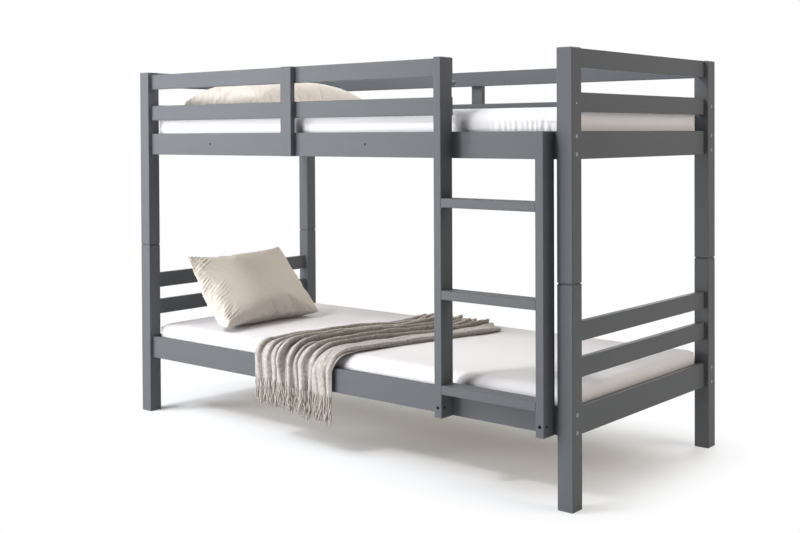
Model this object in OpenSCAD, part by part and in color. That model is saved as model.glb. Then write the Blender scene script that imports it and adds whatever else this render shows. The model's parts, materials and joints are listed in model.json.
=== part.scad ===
// Single-over-single bunk bed in painted solid wood, with a bolted ladder and made-up bedding.
// Origin: floor level, midway along the length and midway from the ladder's front to the back batten.
// +X runs along the length to the ladder end, +Y from the ladder to the back, +Z up. Millimetres.

/* [Bed] */
// Length over the posts
bed_length = 2080; // [1980:10:2180]
// Width over the posts
bed_width = 980; // [880:10:1080]
// Height over the upper posts
bed_height = 1400; // [1390:2:1440]

/* [Posts] */
// Side of a square post
post_w = 55; // [50:1:60]
// Height at which the upper post stands on the lower one
seam_z = 688; // [640:2:720]
// Rounding of the four long edges of a post
post_round = 3; // [1:0.5:5]
// Chamfer round the foot and the top of a post or stile
post_chamfer = 2.5; // [1:0.5:4]
// Chamfer round the two ends that meet at a post's seam, which makes the groove there
seam_chamfer = 4; // [2:0.5:5]

/* [Boards and rails] */
// Thickness of every board and rail
rail_t = 22; // [20:1:25]
// Height of the side rails and end boards
board_h = 86; // [80:1:90]
// Height of the guard rails and end rails
rail_h = 60; // [50:1:64]
// Rounding of the long edges of boards, rails and battens
edge_round = 2.5; // [1:0.5:4]
// Underside of the lower side rails and end boards
lower_board_z = 222; // [200:2:240]
// Underside of the upper side rails and end boards
upper_board_z = 1062; // [1040:2:1070]
// Underside of the lower rail over each lower end board
end_rail_low_z = 396; // [380:2:400]
// Underside of the upper rail over each lower end board
end_rail_top_z = 507; // [490:2:520]
// Underside of the middle guard rails and upper middle end rails
guard_mid_z = 1206; // [1196:2:1210]
// How far the front top guard rail, its batten and the long stile stop below the posts
front_top_drop = 10; // [0:1:14]
// How far the front middle guard rail lies below the back one
front_mid_drop = 4; // [0:1:6]
// Width of the upright batten on each guard
batten_w = 55; // [45:1:65]
// Middle of the front batten, along the bed
front_batten_x = -174; // [-250:2:-100]
// Middle of the back batten, along the bed
back_batten_x = -18; // [-100:2:100]

/* [Ladder] */
// Width of a ladder stile, along the bed
stile_w = 30.5; // [28:0.5:32]
// Depth of a ladder stile and of a rung, across the bed
stile_d = 62; // [54:1:66]
// Middle of the left stile, along the bed
left_stile_x = 562.5; // [520:0.5:580]
// Middle of the right stile, along the bed
right_stile_x = 952; // [900:0.5:960]
// Height of a rung
rung_h = 30; // [24:1:36]
// Middle height of the lowest rung
low_rung_z = 315; // [300:1:320]
// Middle height of the middle rung
mid_rung_z = 622; // [600:1:640]
// Middle height of the top rung
top_rung_z = 919; // [900:1:940]
// How far the nose under the front top guard rail's end reaches past that end
guard_nose = 14; // [8:1:16]
// How far that nose hangs below the rail's underside
guard_nose_drop = 33; // [24:1:40]

/* [Slats] */
// Slats in each bunk
slat_count = 14; // [12:1:15]
// Width of a slat
slat_w = 75; // [65:1:80]
// Thickness of a slat
slat_t = 16; // [14:1:18]
// Side of the square cleats that carry the slats
cleat = 22; // [20:1:24]
// Underside of the upper cleats over the underside of their side rails
upper_cleat_lift = 29; // [20:1:40]

/* [Bedding] */
// Thickness of a mattress at its crown
mattress_t = 100; // [90:1:110]
// Length of a mattress
mattress_l = 1998; // [1980:1:2000]
// Width of a mattress
mattress_w = 890; // [880:1:892]
// Width of the lower pillow, corner to corner
lower_pillow_w = 516; // [480:2:600]
// Height of the lower pillow, corner to corner
lower_pillow_h = 358; // [340:2:380]
// Lean of the lower pillow up from the mattress, in degrees
lower_pillow_lean = 47; // [40:1:60]
// Width of the upper pillow, corner to corner
upper_pillow_w = 650; // [600:2:700]
// Depth of the upper pillow, corner to corner
upper_pillow_h = 450; // [400:2:500]
// Lengthwise folds that the throw is gathered into
throw_folds = 6; // [4:1:8]
// Width that the gathered throw covers
throw_w = 425; // [380:5:460]
// Strands of the throw's fringe
fringe_count = 44; // [30:2:60]

/* [Hidden] */
$fn = 24;

paint = "#73777c";
bare_pine = "#d9bf94";
steel = "#c8c9cb";
beech = "#cfa873";
sheet_white = "#f4f3f7";
pillow_cream = "#e2d9cc";
throw_oat = "#c9c0b4";

left = -1;
right = 1;
front = -1;
back = 1;

// Places across the bed. The ladder stands on the front rails and a batten on the back ones, and
// the ladder is deeper, so the posts' centre line lies behind the origin by half the difference.
bed_y = (stile_d - rail_t) / 2;
post_x = (bed_length - post_w) / 2;
post_y = (bed_width - post_w) / 2;
side_len = bed_length - 2 * post_w;
end_len = bed_width - 2 * post_w;
rail_out = post_y + rail_t / 2;
rail_in = post_y - rail_t / 2;
guard_top_z = bed_height - rail_h;
lower_rail_z = lower_board_z + board_h / 2;
upper_rail_z = upper_board_z + board_h / 2;
upper_rail_top = upper_board_z + board_h;
guard_mid_c = guard_mid_z + rail_h / 2;
guard_top_c = guard_top_z + rail_h / 2;
front_mid_c = guard_mid_c - front_mid_drop;
front_top_c = guard_top_c - front_top_drop;
front_top_edge = bed_height - front_top_drop;
function mid_c(depth_side) = depth_side == front ? front_mid_c : guard_mid_c;
function top_c(depth_side) = depth_side == front ? front_top_c : guard_top_c;
stile_y = -rail_out - stile_d / 2;
batten_y = rail_out + rail_t / 2;

// Hardware
bolt_d = 6;
bolt_bore = 7;
bolt_head_d = 12;
bolt_head_t = 2.2;
counterbore_d = 13;
counterbore = 2.5;
head_sink = counterbore - bolt_head_t;
socket_af = 4;
bolt_offset = 27;
bolt_in_rail = 48;
nut_d = 10;
nut_l = 15;
nut_from_end = 38;
nut_bore_depth = 19;
fit_gap = 0.1;
dowel_d = 8;
dowel_half = 20;
dowel_spread = 20;
rail_dowel_spread = 15;
pin_d = 12;
pin_half = 45;
screw_d = 4;
screw_head_d = 8;
screw_l = 36;
batten_screw_spread = 15;
cleat_screw_x = [-620, -212, 196];
hidden_cleat_screw_x = [-800, -400, 0, 400, 800];
foot_hole_z = lower_board_z + 34;
foot_mouth_d = 11;
foot_nut_y = 16;
insert_d = 10;
insert_l = 20;
slat_screw_l = 30;
sunk_head = 10;
sunk_head_d = 7;
cleat_screw_lift = 4;

// Slats and mattresses
cleat_len = side_len - 140;
lower_cleat_z = lower_board_z;
upper_cleat_z = upper_board_z + upper_cleat_lift;
slat_len = 2 * rail_in - 4;
tape_w = 25;
tape_t = 1;
tape_y = 300;
rest_gap = 0.5;
lower_bed_z = lower_cleat_z + cleat + slat_t + rest_gap;
upper_bed_z = upper_cleat_z + cleat + slat_t + rest_gap;
mattress_corner = 50;
mattress_top_round = 46;
mattress_foot_round = 16;
mattress_crown = 6;

// ---- shared shapes ----

module rounded_rect(w, h, r) {
    square([w - 2 * r, h], center = true);
    square([w, h - 2 * r], center = true);
    for (sx = [-1, 1], sy = [-1, 1])
        translate([sx * (w / 2 - r), sy * (h / 2 - r)]) circle(r);
}

// Rectangle with its corners cut at 45 degrees.
module chamfered_rect(w, h, c) {
    x = w / 2;
    y = h / 2;
    polygon([
        [-x + c, -y], [x - c, -y], [x, -y + c], [x, y - c],
        [x - c, y], [-x + c, y], [-x, y - c], [-x, -y + c]
    ]);
}

// Turn a shape drawn up Z so that it runs along +X, or along +Y.
module along_x() rotate([0, 90, 0]) children();
module along_y() rotate([-90, 0, 0]) children();

// Board along X or Y, centred, with its long edges eased.
module board_x(l, t, h) along_x() linear_extrude(l, center = true) rounded_rect(h, t, edge_round);
module board_y(l, t, h) along_y() linear_extrude(l, center = true) rounded_rect(t, h, edge_round);

// Side view of a bar of height h on z = 0, its foot cut at 45 degrees by c0 and its top by c1.
module bar_side(w, h, c0, c1) {
    x = w / 2;
    polygon([[-x + c0, 0], [x - c0, 0], [x, c0], [x, h - c1], [x - c1, h], [-x + c1, h], [-x, h - c1], [-x, c0]]);
}

// Stand a shape drawn in the X-Y plane up in the X-Z plane, extruded by t across it.
module stood_up(t) translate([0, t / 2, 0]) rotate([90, 0, 0]) linear_extrude(t) children();

// Upright bar standing on z = 0: long edges rounded, each end chamfered all round.
module upright(w, d, h, r, c0, c1) {
    intersection() {
        linear_extrude(h) rounded_rect(w, d, r);
        stood_up(d + 2) bar_side(w, h, c0, c1);
        rotate([0, 0, 90]) stood_up(w + 2) bar_side(d, h, c0, c1);
    }
}

// Hole from z = -depth up to just past z = 0, so that it opens on the face it is put on.
module bore(d, depth) translate([0, 0, -depth]) cylinder(d = d, h = depth + 1);

// Every sub-part is drawn round the posts' centre line and then set in the part's frame.
module set_in_frame() translate([0, bed_y, 0]) children();

// ---- posts ----

// Bores that a post has for the rails that meet it, drawn round the post's own axis.
// end_z: [centre height, dowel spread] of each end board and rail; bolt_z: rail bolts;
// plain_z: bolt holes without a counterbore; side_dowel_z: dowels of the side rails.
module post_bores(side, depth_side, bolt_z, side_dowel_z, end_z, plain_z = []) {
    for (z = concat(bolt_z, plain_z))
        translate([0, 0, z]) along_x() cylinder(d = bolt_bore, h = post_w + 2, center = true);
    for (z = bolt_z)
        translate([side * post_w / 2, 0, z]) rotate([0, side * 90, 0]) bore(counterbore_d, counterbore);
    for (z = side_dowel_z)
        translate([-side * post_w / 2, 0, z]) rotate([0, -side * 90, 0]) bore(dowel_d, dowel_half + 1);
    for (e = end_z, s = [-1, 1])
        translate([0, -depth_side * post_w / 2, e[0] + s * e[1]])
            rotate([depth_side * 90, 0, 0]) bore(dowel_d, dowel_half + 1);
}

function rail_bolt_z(centre) = [centre - bolt_offset, centre + bolt_offset];

module lower_post(side, depth_side) {
    color(paint) set_in_frame() translate([side * post_x, depth_side * post_y, 0])
        difference() {
            upright(post_w, post_w, seam_z, post_round, post_chamfer, seam_chamfer);
            translate([0, 0, seam_z]) bore(pin_d, pin_half + 1);
            post_bores(side, depth_side, rail_bolt_z(lower_rail_z), [lower_rail_z], [
                [lower_rail_z, dowel_spread],
                [end_rail_low_z + rail_h / 2, rail_dowel_spread],
                [end_rail_top_z + rail_h / 2, rail_dowel_spread]
            ]);
        }
}

module upper_post(side, depth_side) {
    // The front right post carries no guard rail, because the ladder's way in is there.
    bare = side == right && depth_side == front;
    guard_dowels = bare
        ? [] : [top_c(depth_side) - rail_dowel_spread, top_c(depth_side) + rail_dowel_spread];
    guard_bolt = [mid_c(depth_side)];
    color(paint) set_in_frame() translate([side * post_x, depth_side * post_y, 0])
        difference() {
            translate([0, 0, seam_z])
                upright(post_w, post_w, bed_height - seam_z, post_round, seam_chamfer, post_chamfer);
            translate([0, 0, seam_z]) rotate([180, 0, 0]) bore(pin_d, pin_half + 1);
            post_bores(side, depth_side, concat(rail_bolt_z(upper_rail_z), bare ? [] : guard_bolt),
                concat([upper_rail_z], guard_dowels), [
                    [upper_rail_z, dowel_spread],
                    [guard_mid_c, rail_dowel_spread],
                    [guard_top_c, rail_dowel_spread]
                ], bare ? guard_bolt : []);
        }
}

// ---- boards and rails ----

// Bolt bore in a rail's end, with the cross bore for its barrel nut from the inner face.
module bolt_seat(side, depth_side, x_end, z) {
    translate([x_end, 0, z]) rotate([0, side * 90, 0]) bore(bolt_bore, bolt_in_rail + 6);
    translate([x_end - side * nut_from_end, -depth_side * rail_t / 2, z])
        rotate([depth_side * 90, 0, 0]) bore(nut_d, nut_bore_depth);
}

module end_dowel_bore_x(side, x_end, z)
    translate([x_end, 0, z]) rotate([0, side * 90, 0]) bore(dowel_d, dowel_half + 1);

// Countersink for a wood screw's head, opening at z = 0.
module screw_sink()
    translate([0, 0, -2]) cylinder(d1 = screw_d + 0.4, d2 = screw_head_d + 0.8, h = 2.01);

// Clearance hole across a rail for a screw driven from its inner face, with the countersink.
module screw_way(depth_side, x, z) {
    translate([x, 0, z]) along_y() cylinder(d = screw_d + 0.4, h = rail_t + 2, center = true);
    translate([x, -depth_side * rail_t / 2, z]) rotate([depth_side * 90, 0, 0])
        screw_sink();
}

function batten_x(depth_side) = depth_side == front ? front_batten_x : back_batten_x;
function batten_screw_x(depth_side) =
    [batten_x(depth_side) - batten_screw_spread, batten_x(depth_side) + batten_screw_spread];

module side_rail(depth_side, base_z) {
    is_upper = base_z == upper_board_z;
    centre_z = base_z + board_h / 2;
    color(paint) set_in_frame() translate([0, depth_side * post_y, 0])
        difference() {
            translate([0, 0, centre_z]) board_x(side_len, rail_t, board_h);
            for (side = [left, right]) {
                for (z = rail_bolt_z(centre_z)) bolt_seat(side, depth_side, side * side_len / 2, z);
                end_dowel_bore_x(side, side * side_len / 2, centre_z);
            }
            if (is_upper)
                for (x = batten_screw_x(depth_side)) screw_way(depth_side, x, batten_foot_z);
            if (is_upper && depth_side == front) {
                for (x = cleat_screw_x) cleat_screw_bore(x, cleat_screw_z);
                for (x = [left_stile_x, right_stile_x]) ladder_bolt_bore(x, ladder_bolt_z);
            } else {
                cleat_z = is_upper ? upper_cleat_z : lower_cleat_z;
                for (x = hidden_cleat_screw_x)
                    translate([x, -depth_side * rail_t / 2, cleat_z + cleat / 2])
                        rotate([depth_side * 90, 0, 0]) bore(screw_d + 0.2, screw_l - cleat + 1);
            }
            if (!is_upper && depth_side == front)
                for (x = [left_stile_x, right_stile_x]) {
                    ladder_bolt_bore(x, foot_hole_z);
                    translate([x, rail_t / 2, foot_hole_z])
                        rotate([-90, 0, 0]) bore(counterbore_d, counterbore);
                }
        }
}

module ladder_bolt_bore(x, z)
    translate([x, 0, z]) along_y() cylinder(d = bolt_bore, h = rail_t + 2, center = true);

// Deep sunk hole in the outer face of the front upper side rail for a cleat screw.
cleat_screw_z = upper_cleat_z + cleat / 2 + cleat_screw_lift;
module cleat_screw_bore(x, z) {
    translate([x, 0, z]) along_y() cylinder(d = screw_d + 0.4, h = rail_t + 2, center = true);
    translate([x, -rail_t / 2, z]) rotate([90, 0, 0]) bore(sunk_head_d + 0.6, sunk_head);
}

module end_bar(side, base_z, h, spread) {
    color(paint) set_in_frame() translate([side * post_x, 0, base_z + h / 2])
        difference() {
            board_y(end_len, rail_t, h);
            for (depth_side = [front, back], s = [-1, 1])
                translate([0, depth_side * end_len / 2, s * spread])
                    rotate([-depth_side * 90, 0, 0]) bore(dowel_d, dowel_half + 1);
        }
}

module end_board(side, base_z) end_bar(side, base_z, board_h, dowel_spread);
module end_rail(side, base_z) end_bar(side, base_z, rail_h, rail_dowel_spread);

// Front guard rails stop behind the left stile; the back ones run from post to post.
guard_left_x = -side_len / 2;
front_guard_end = left_stile_x + 0.5;
stile_screw_x = left_stile_x - 7.5;
function guard_end(depth_side) = depth_side == front ? front_guard_end : side_len / 2;

module guard_board(x_end, centre_z)
    translate([(guard_left_x + x_end) / 2, 0, centre_z]) board_x(x_end - guard_left_x, rail_t, rail_h);

module guard_rail_mid(depth_side) {
    z = mid_c(depth_side);
    color(paint) set_in_frame() translate([0, depth_side * post_y, 0])
        difference() {
            guard_board(guard_end(depth_side), z);
            bolt_seat(left, depth_side, guard_left_x, z);
            if (depth_side == back) bolt_seat(right, depth_side, side_len / 2, z);
            for (x = batten_screw_x(depth_side)) screw_way(depth_side, x, z);
            if (depth_side == front) stile_screw_ways(z);
        }
}

module guard_rail_top(depth_side) {
    z = top_c(depth_side);
    color(paint) set_in_frame() translate([0, depth_side * post_y, 0])
        difference() {
            union() {
                guard_board(guard_end(depth_side), z);
                if (depth_side == front) translate([front_guard_end, 0, z - rail_h / 2]) rail_nose();
            }
            for (s = [-1, 1]) {
                end_dowel_bore_x(left, guard_left_x, z + s * rail_dowel_spread);
                if (depth_side == back) end_dowel_bore_x(right, side_len / 2, z + s * rail_dowel_spread);
            }
            for (x = batten_screw_x(depth_side)) screw_way(depth_side, x, z);
            if (depth_side == front) stile_screw_ways(z);
        }
}

// Drop end of the front top guard rail: a cove leads down from the rail's underside to a nose that
// is scooped out above. Drawn from the rail's end, with z = 0 at its underside.
nose_lift = 11;
scoop_top = 6;
nose_back = 18;
module rail_nose() {
    rise = guard_nose_drop - nose_lift + scoop_top;
    scoop_r = (rise * rise + guard_nose * guard_nose) / (2 * guard_nose);
    cove_r = guard_nose_drop + 4;
    cove_x = -nose_back - cove_r;
    difference() {
        stood_up(rail_t - 0.6) polygon([
            [cove_x, scoop_top], [cove_x, -guard_nose_drop],
            [guard_nose - nose_lift, -guard_nose_drop], [guard_nose, -guard_nose_drop + nose_lift],
            [guard_nose, scoop_top]
        ]);
        translate([scoop_r + 0.6, 0, scoop_top + 1])
            along_y() cylinder(r = scoop_r, h = rail_t + 2, center = true, $fn = 96);
        translate([cove_x, 0, -guard_nose_drop])
            along_y() cylinder(r = cove_r, h = rail_t + 2, center = true, $fn = 96);
    }
}

module stile_screw_ways(centre_z)
    for (s = [-1, 1]) screw_way(front, stile_screw_x, centre_z + s * rail_dowel_spread);

// Heights at which screws hold a batten: above the cleat in the side rail, then in each guard rail.
batten_foot_z = upper_rail_top - 16;
function batten_screw_z(depth_side) = [batten_foot_z, mid_c(depth_side), top_c(depth_side)];

module guard_batten(depth_side) {
    top_z = depth_side == front ? front_top_edge : bed_height;
    color(paint) set_in_frame() translate([batten_x(depth_side), depth_side * batten_y, 0])
        difference() {
            translate([0, 0, upper_board_z])
                upright(batten_w, rail_t, top_z - upper_board_z, edge_round, 1.5, 1.5);
            for (dx = [-batten_screw_spread, batten_screw_spread], z = batten_screw_z(depth_side))
                translate([dx, -depth_side * rail_t / 2, z])
                    rotate([depth_side * 90, 0, 0]) bore(screw_d + 0.2, screw_l - rail_t + 1);
        }
}

// ---- ladder ----

ladder_bolt_z = upper_cleat_z + cleat / 2;

// Way for the foot bolt: wide at the front, crossed by the barrel nut's bore from the right.
module foot_bores() {
    translate([0, 0, foot_hole_z]) along_y() cylinder(d = bolt_bore + 1, h = stile_d + 2, center = true);
    translate([0, -stile_d / 2, foot_hole_z]) rotate([90, 0, 0]) bore(foot_mouth_d, foot_nut_y);
    translate([stile_w / 2, foot_nut_y - stile_d / 2, foot_hole_z])
        rotate([0, 90, 0]) bore(nut_d, stile_w / 2 + nut_l / 2 + 1);
}

module stile_insert_bore(z)
    translate([0, stile_d / 2, z]) rotate([-90, 0, 0]) bore(insert_d, insert_l + 4);

module rung_dowel_bores(side)
    for (z = [low_rung_z, mid_rung_z, top_rung_z], s = [-1, 1])
        translate([side * stile_w / 2, s * rail_dowel_spread, z])
            rotate([0, side * 90, 0]) bore(dowel_d, dowel_half + 1);

module ladder_stile(stile_x, top_z, rung_side) {
    color(paint) set_in_frame() translate([stile_x, stile_y, 0])
        difference() {
            translate([0, 0, lower_board_z])
                upright(stile_w, stile_d, top_z - lower_board_z, post_round, post_chamfer, post_chamfer);
            foot_bores();
            stile_insert_bore(ladder_bolt_z);
            rung_dowel_bores(rung_side);
            if (top_z == front_top_edge)
                for (z = [front_mid_c, front_top_c], s = [-1, 1])
                    translate([stile_screw_x - stile_x, stile_d / 2, z + s * rail_dowel_spread])
                        rotate([-90, 0, 0]) bore(screw_d + 0.2, screw_l - rail_t + 1);
        }
}

rung_x = (left_stile_x + right_stile_x) / 2;
rung_l = right_stile_x - left_stile_x - stile_w;

module ladder_rung(z) {
    color(paint) set_in_frame() translate([rung_x, stile_y, z])
        difference() {
            along_x() linear_extrude(rung_l, center = true) rounded_rect(rung_h, stile_d, post_round);
            for (side = [left, right], s = [-1, 1])
                translate([side * rung_l / 2, s * rail_dowel_spread, 0])
                    rotate([0, side * 90, 0]) bore(dowel_d, dowel_half + 1);
        }
}

// ---- slats ----

module slat_cleat(depth_side, z) {
    is_upper = z == upper_cleat_z;
    through_screws = is_upper && depth_side == front;
    color(paint) set_in_frame() translate([0, depth_side * (rail_in - cleat / 2), z + cleat / 2])
        difference() {
            along_x() linear_extrude(cleat_len, center = true) chamfered_rect(cleat, cleat, 1.5);
            if (through_screws) {
                for (x = cleat_screw_x)
                    translate([x, -cleat / 2, cleat_screw_lift]) rotate([90, 0, 0]) bore(screw_d + 0.2, 17);
                for (x = [left_stile_x, right_stile_x]) translate([x, 0, 0]) {
                    along_y() cylinder(d = bolt_bore, h = cleat + 2, center = true);
                    translate([0, cleat / 2, 0]) rotate([-90, 0, 0]) bore(counterbore_d, counterbore);
                }
            } else {
                for (x = hidden_cleat_screw_x)
                    translate([x, -depth_side * (cleat / 2), 0]) rotate([depth_side * 90, 0, 0])
                        hidden_screw_way();
            }
            for (side = [left, right])
                translate([side * end_slat_x, 0, cleat / 2]) bore(screw_d + 0.2, slat_screw_l - slat_t + 1);
        }
}

// Screw hole from the inner face of a cleat into its rail, which stays whole outside.
module hidden_screw_way() {
    translate([0, 0, -cleat]) cylinder(d = screw_d + 0.4, h = cleat + 1);
    screw_sink();
}

slat_pitch = (cleat_len - slat_w) / (slat_count - 1);
end_slat_x = (slat_count - 1) / 2 * slat_pitch;
slat_screw_y = rail_in - cleat / 2;

// The slats lie across the cleats; the first and the last are screwed down.
module slat_row(z) {
    color(bare_pine) set_in_frame() translate([0, 0, z + cleat])
        for (i = [0 : slat_count - 1]) {
            x = (i - (slat_count - 1) / 2) * slat_pitch;
            difference() {
                translate([x, 0, slat_t / 2])
                    along_y() linear_extrude(slat_len, center = true) chamfered_rect(slat_w, slat_t, 2);
                if (i == 0 || i == slat_count - 1)
                    for (d = [front, back]) translate([x, d * slat_screw_y, slat_t]) {
                        translate([0, 0, -slat_t - 1]) cylinder(d = screw_d + 0.4, h = slat_t + 2);
                        screw_sink();
                    }
            }
        }
}

// Two webbing tapes under the slats keep their spacing.
module slat_tapes(z) {
    color("white") set_in_frame()
        for (s = [-1, 1])
            translate([0, s * tape_y, z + cleat - tape_t / 2])
                cube([cleat_len, tape_w, tape_t], center = true);
}

// ---- hardware ----

// Flat-headed bolt with a hexagon socket: the head's outer face is at z = 0, the shank runs down.
module socket_bolt(shank) {
    difference() {
        union() {
            translate([0, 0, -bolt_head_t]) cylinder(d = bolt_head_d, h = bolt_head_t);
            translate([0, 0, -bolt_head_t - shank]) cylinder(d = bolt_d, h = shank + 0.5);
        }
        translate([0, 0, -3]) cylinder(d = socket_af / cos(30), h = 4, $fn = 6);
    }
}

// Barrel nut along Z, tapped across along X.
module barrel_nut() {
    difference() {
        cylinder(d = nut_d - 2 * fit_gap, h = nut_l, center = true);
        along_x() cylinder(d = bolt_d + 2 * fit_gap, h = nut_d + 2, center = true);
    }
}

// [side, depth side, height] of each bolt through a post into a rail's end.
frame_bolt_spots = concat(
    [for (side = [left, right], d = [front, back], c = [lower_rail_z, upper_rail_z], z = rail_bolt_z(c))
        [side, d, z]],
    [[left, front, front_mid_c], [left, back, guard_mid_c], [right, back, guard_mid_c]]
);

module frame_bolts() {
    color(steel) set_in_frame() for (b = frame_bolt_spots)
        translate([b[0] * (bed_length / 2 - head_sink), b[1] * post_y, b[2]])
            rotate([0, b[0] * 90, 0]) socket_bolt(post_w + bolt_in_rail - counterbore);
}

module barrel_nuts() {
    color(steel) set_in_frame() for (b = frame_bolt_spots)
        translate([b[0] * (side_len / 2 - nut_from_end), b[1] * post_y, b[2]]) along_y() barrel_nut();
}

// The front right post's guard bolt hole is not used, so a plug fills its mouth.
module bolt_hole_plug()
    color("#b9bbbd") set_in_frame() translate([bed_length / 2 - 12, -post_y, front_mid_c])
        along_x() cylinder(d = bolt_bore - 0.3, h = 11.5);

module post_pins() {
    color(steel) set_in_frame() for (side = [left, right], d = [front, back])
        translate([side * post_x, d * post_y, seam_z])
            cylinder(d = pin_d - 0.2, h = 2 * pin_half, center = true);
}

module dowel() cylinder(d = dowel_d - 0.1, h = 2 * dowel_half, center = true);

module rail_dowels() {
    end_rows = [
        [lower_rail_z, dowel_spread], [end_rail_low_z + rail_h / 2, rail_dowel_spread],
        [end_rail_top_z + rail_h / 2, rail_dowel_spread], [upper_rail_z, dowel_spread],
        [guard_mid_c, rail_dowel_spread], [guard_top_c, rail_dowel_spread]
    ];
    color(beech) set_in_frame() {
        for (side = [left, right], d = [front, back], row = end_rows, s = [-1, 1])
            translate([side * post_x, d * end_len / 2, row[0] + s * row[1]]) along_y() dowel();
        for (side = [left, right], d = [front, back], z = [lower_rail_z, upper_rail_z])
            translate([side * side_len / 2, d * post_y, z]) along_x() dowel();
        for (spot = [[left, front], [left, back], [right, back]], s = [-1, 1])
            translate([spot[0] * side_len / 2, spot[1] * post_y, top_c(spot[1]) + s * rail_dowel_spread])
                along_x() dowel();
    }
}

module rung_dowels() {
    color(beech) set_in_frame()
        for (side = [left, right], z = [low_rung_z, mid_rung_z, top_rung_z], s = [-1, 1])
            translate([rung_x + side * rung_l / 2, stile_y + s * rail_dowel_spread, z]) along_x() dowel();
}

// Countersunk wood screw: the head's face is at z = 0 and the point is down.
module wood_screw(l) {
    translate([0, 0, -2]) cylinder(d1 = screw_d, d2 = screw_head_d, h = 2);
    translate([0, 0, -l]) cylinder(d = screw_d, h = l - 1.5);
}

// Screws driven from inside the bed, through the rails, into the battens and the left stile.
module guard_screws() {
    color(steel) set_in_frame() {
        for (d = [front, back], x = batten_screw_x(d), z = batten_screw_z(d))
            translate([x, d * rail_in, z]) rotate([d * 90, 0, 0]) wood_screw(screw_l);
        for (z = [front_mid_c, front_top_c], s = [-1, 1])
            translate([stile_screw_x, -rail_in, z + s * rail_dowel_spread])
                rotate([-90, 0, 0]) wood_screw(screw_l);
    }
}

// Screws of the cleats and of the end slats. Only those sunk in the front upper rail show.
module base_screws() {
    cleats = [[front, lower_cleat_z], [back, lower_cleat_z], [back, upper_cleat_z]];
    color(steel) set_in_frame() {
        for (x = cleat_screw_x)
            translate([x, -rail_out + sunk_head, cleat_screw_z])
                rotate([90, 0, 0]) sunk_screw();
        for (c = cleats, x = hidden_cleat_screw_x)
            translate([x, c[0] * (rail_in - cleat), c[1] + cleat / 2]) rotate([c[0] * 90, 0, 0])
                wood_screw(screw_l);
        for (side = [left, right], d = [front, back], z = [lower_cleat_z, upper_cleat_z])
            translate([side * end_slat_x, d * slat_screw_y, z + cleat + slat_t]) wood_screw(slat_screw_l);
    }
}

// Pan-headed screw: the underside of its head is at z = 0 and the shank runs down.
module sunk_screw() {
    difference() {
        union() {
            cylinder(d = sunk_head_d, h = 2);
            translate([0, 0, sunk_head - rail_t - 15]) cylinder(d = screw_d, h = rail_t + 16 - sunk_head);
        }
        translate([0, 0, 0.8]) cylinder(d = 3.4, h = 2, $fn = 6);
    }
}

module ladder_bolts() {
    foot_shank = rail_t + stile_d - foot_nut_y + 6 - bolt_head_t;
    top_shank = cleat + rail_t + insert_l - bolt_head_t;
    color(steel) set_in_frame() for (x = [left_stile_x, right_stile_x]) {
        translate([x, -rail_in - head_sink, foot_hole_z]) rotate([-90, 0, 0]) socket_bolt(foot_shank);
        translate([x, -rail_in + cleat - head_sink, ladder_bolt_z])
            rotate([-90, 0, 0]) socket_bolt(top_shank);
    }
}

// Barrel nuts in the stiles' feet and threaded inserts behind their tops.
module ladder_nuts() {
    color(steel) set_in_frame() for (x = [left_stile_x, right_stile_x]) {
        translate([x, stile_y + foot_nut_y - stile_d / 2, foot_hole_z])
            rotate([0, 0, 90]) rotate([90, 0, 0]) barrel_nut();
        translate([x, -rail_out - insert_l / 2 - 0.5, ladder_bolt_z]) along_y() difference() {
            cylinder(d = insert_d - 2 * fit_gap, h = insert_l, center = true);
            cylinder(d = bolt_d + 2 * fit_gap, h = insert_l + 2, center = true);
        }
    }
}

// ---- soft goods ----

// Closed skin over a stack of rings with equally many points, fanned shut at both ends.
module ring_skin(rings) {
    n = len(rings[0]);
    m = len(rings);
    points = concat([for (ring = rings, p = ring) p], [mean(rings[0]), mean(rings[m - 1])]);
    sides = [for (k = [0 : m - 2], i = [0 : n - 1], half = [0, 1])
        let (a = k * n + i, b = k * n + (i + 1) % n)
        half == 0 ? [a, a + n, b] : [b, a + n, b + n]];
    foot = [for (i = [0 : n - 1]) [i, (i + 1) % n, m * n]];
    crown = [for (i = [0 : n - 1]) [(m - 1) * n + (i + 1) % n, (m - 1) * n + i, m * n + 1]];
    polyhedron(points, concat(sides, foot, crown));
}

function mean(ps) = [for (k = [0 : 2]) sum([for (p = ps) p[k]]) / len(ps)];
function sum(v, i = 0) = i == len(v) ? 0 : v[i] + sum(v, i + 1);

// Points of a rounded rectangle of half sizes a and b, anticlockwise, at height z.
function round_ring(a, b, r, z, steps = 6) = [
    for (q = [0 : 3], i = [0 : steps])
        let (t = 90 * (q + i / steps), sx = q == 0 || q == 3 ? 1 : -1, sy = q < 2 ? 1 : -1)
        [sx * (a - r) + r * cos(t), sy * (b - r) + r * sin(t), z]
];

// How far the crown rises inwards from the rounded top edge: the last ring is a narrow strip.
crown_run = mattress_w / 2 - mattress_top_round - 30;

// [inset, height] up the edge of a mattress and in over its crown.
mattress_profile = concat(
    [for (t = [90 : -30 : 0]) [mattress_foot_round * (1 - cos(t)), mattress_foot_round * (1 - sin(t))]],
    [for (t = [0 : 18 : 90]) [mattress_top_round * (1 - cos(t)),
        mattress_t - mattress_crown - mattress_top_round * (1 - sin(t))]],
    [for (t = [30 : 30 : 90]) [mattress_top_round + crown_run * (1 - cos(t)),
        mattress_t - mattress_crown * (1 - sin(t))]]
);

module mattress(bed_z) {
    color(sheet_white) set_in_frame() translate([0, 0, bed_z])
        ring_skin([for (p = mattress_profile)
            round_ring(mattress_l / 2 - p[0], mattress_w / 2 - p[0],
                max(8, mattress_corner - p[0]), p[1])]);
}

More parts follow.
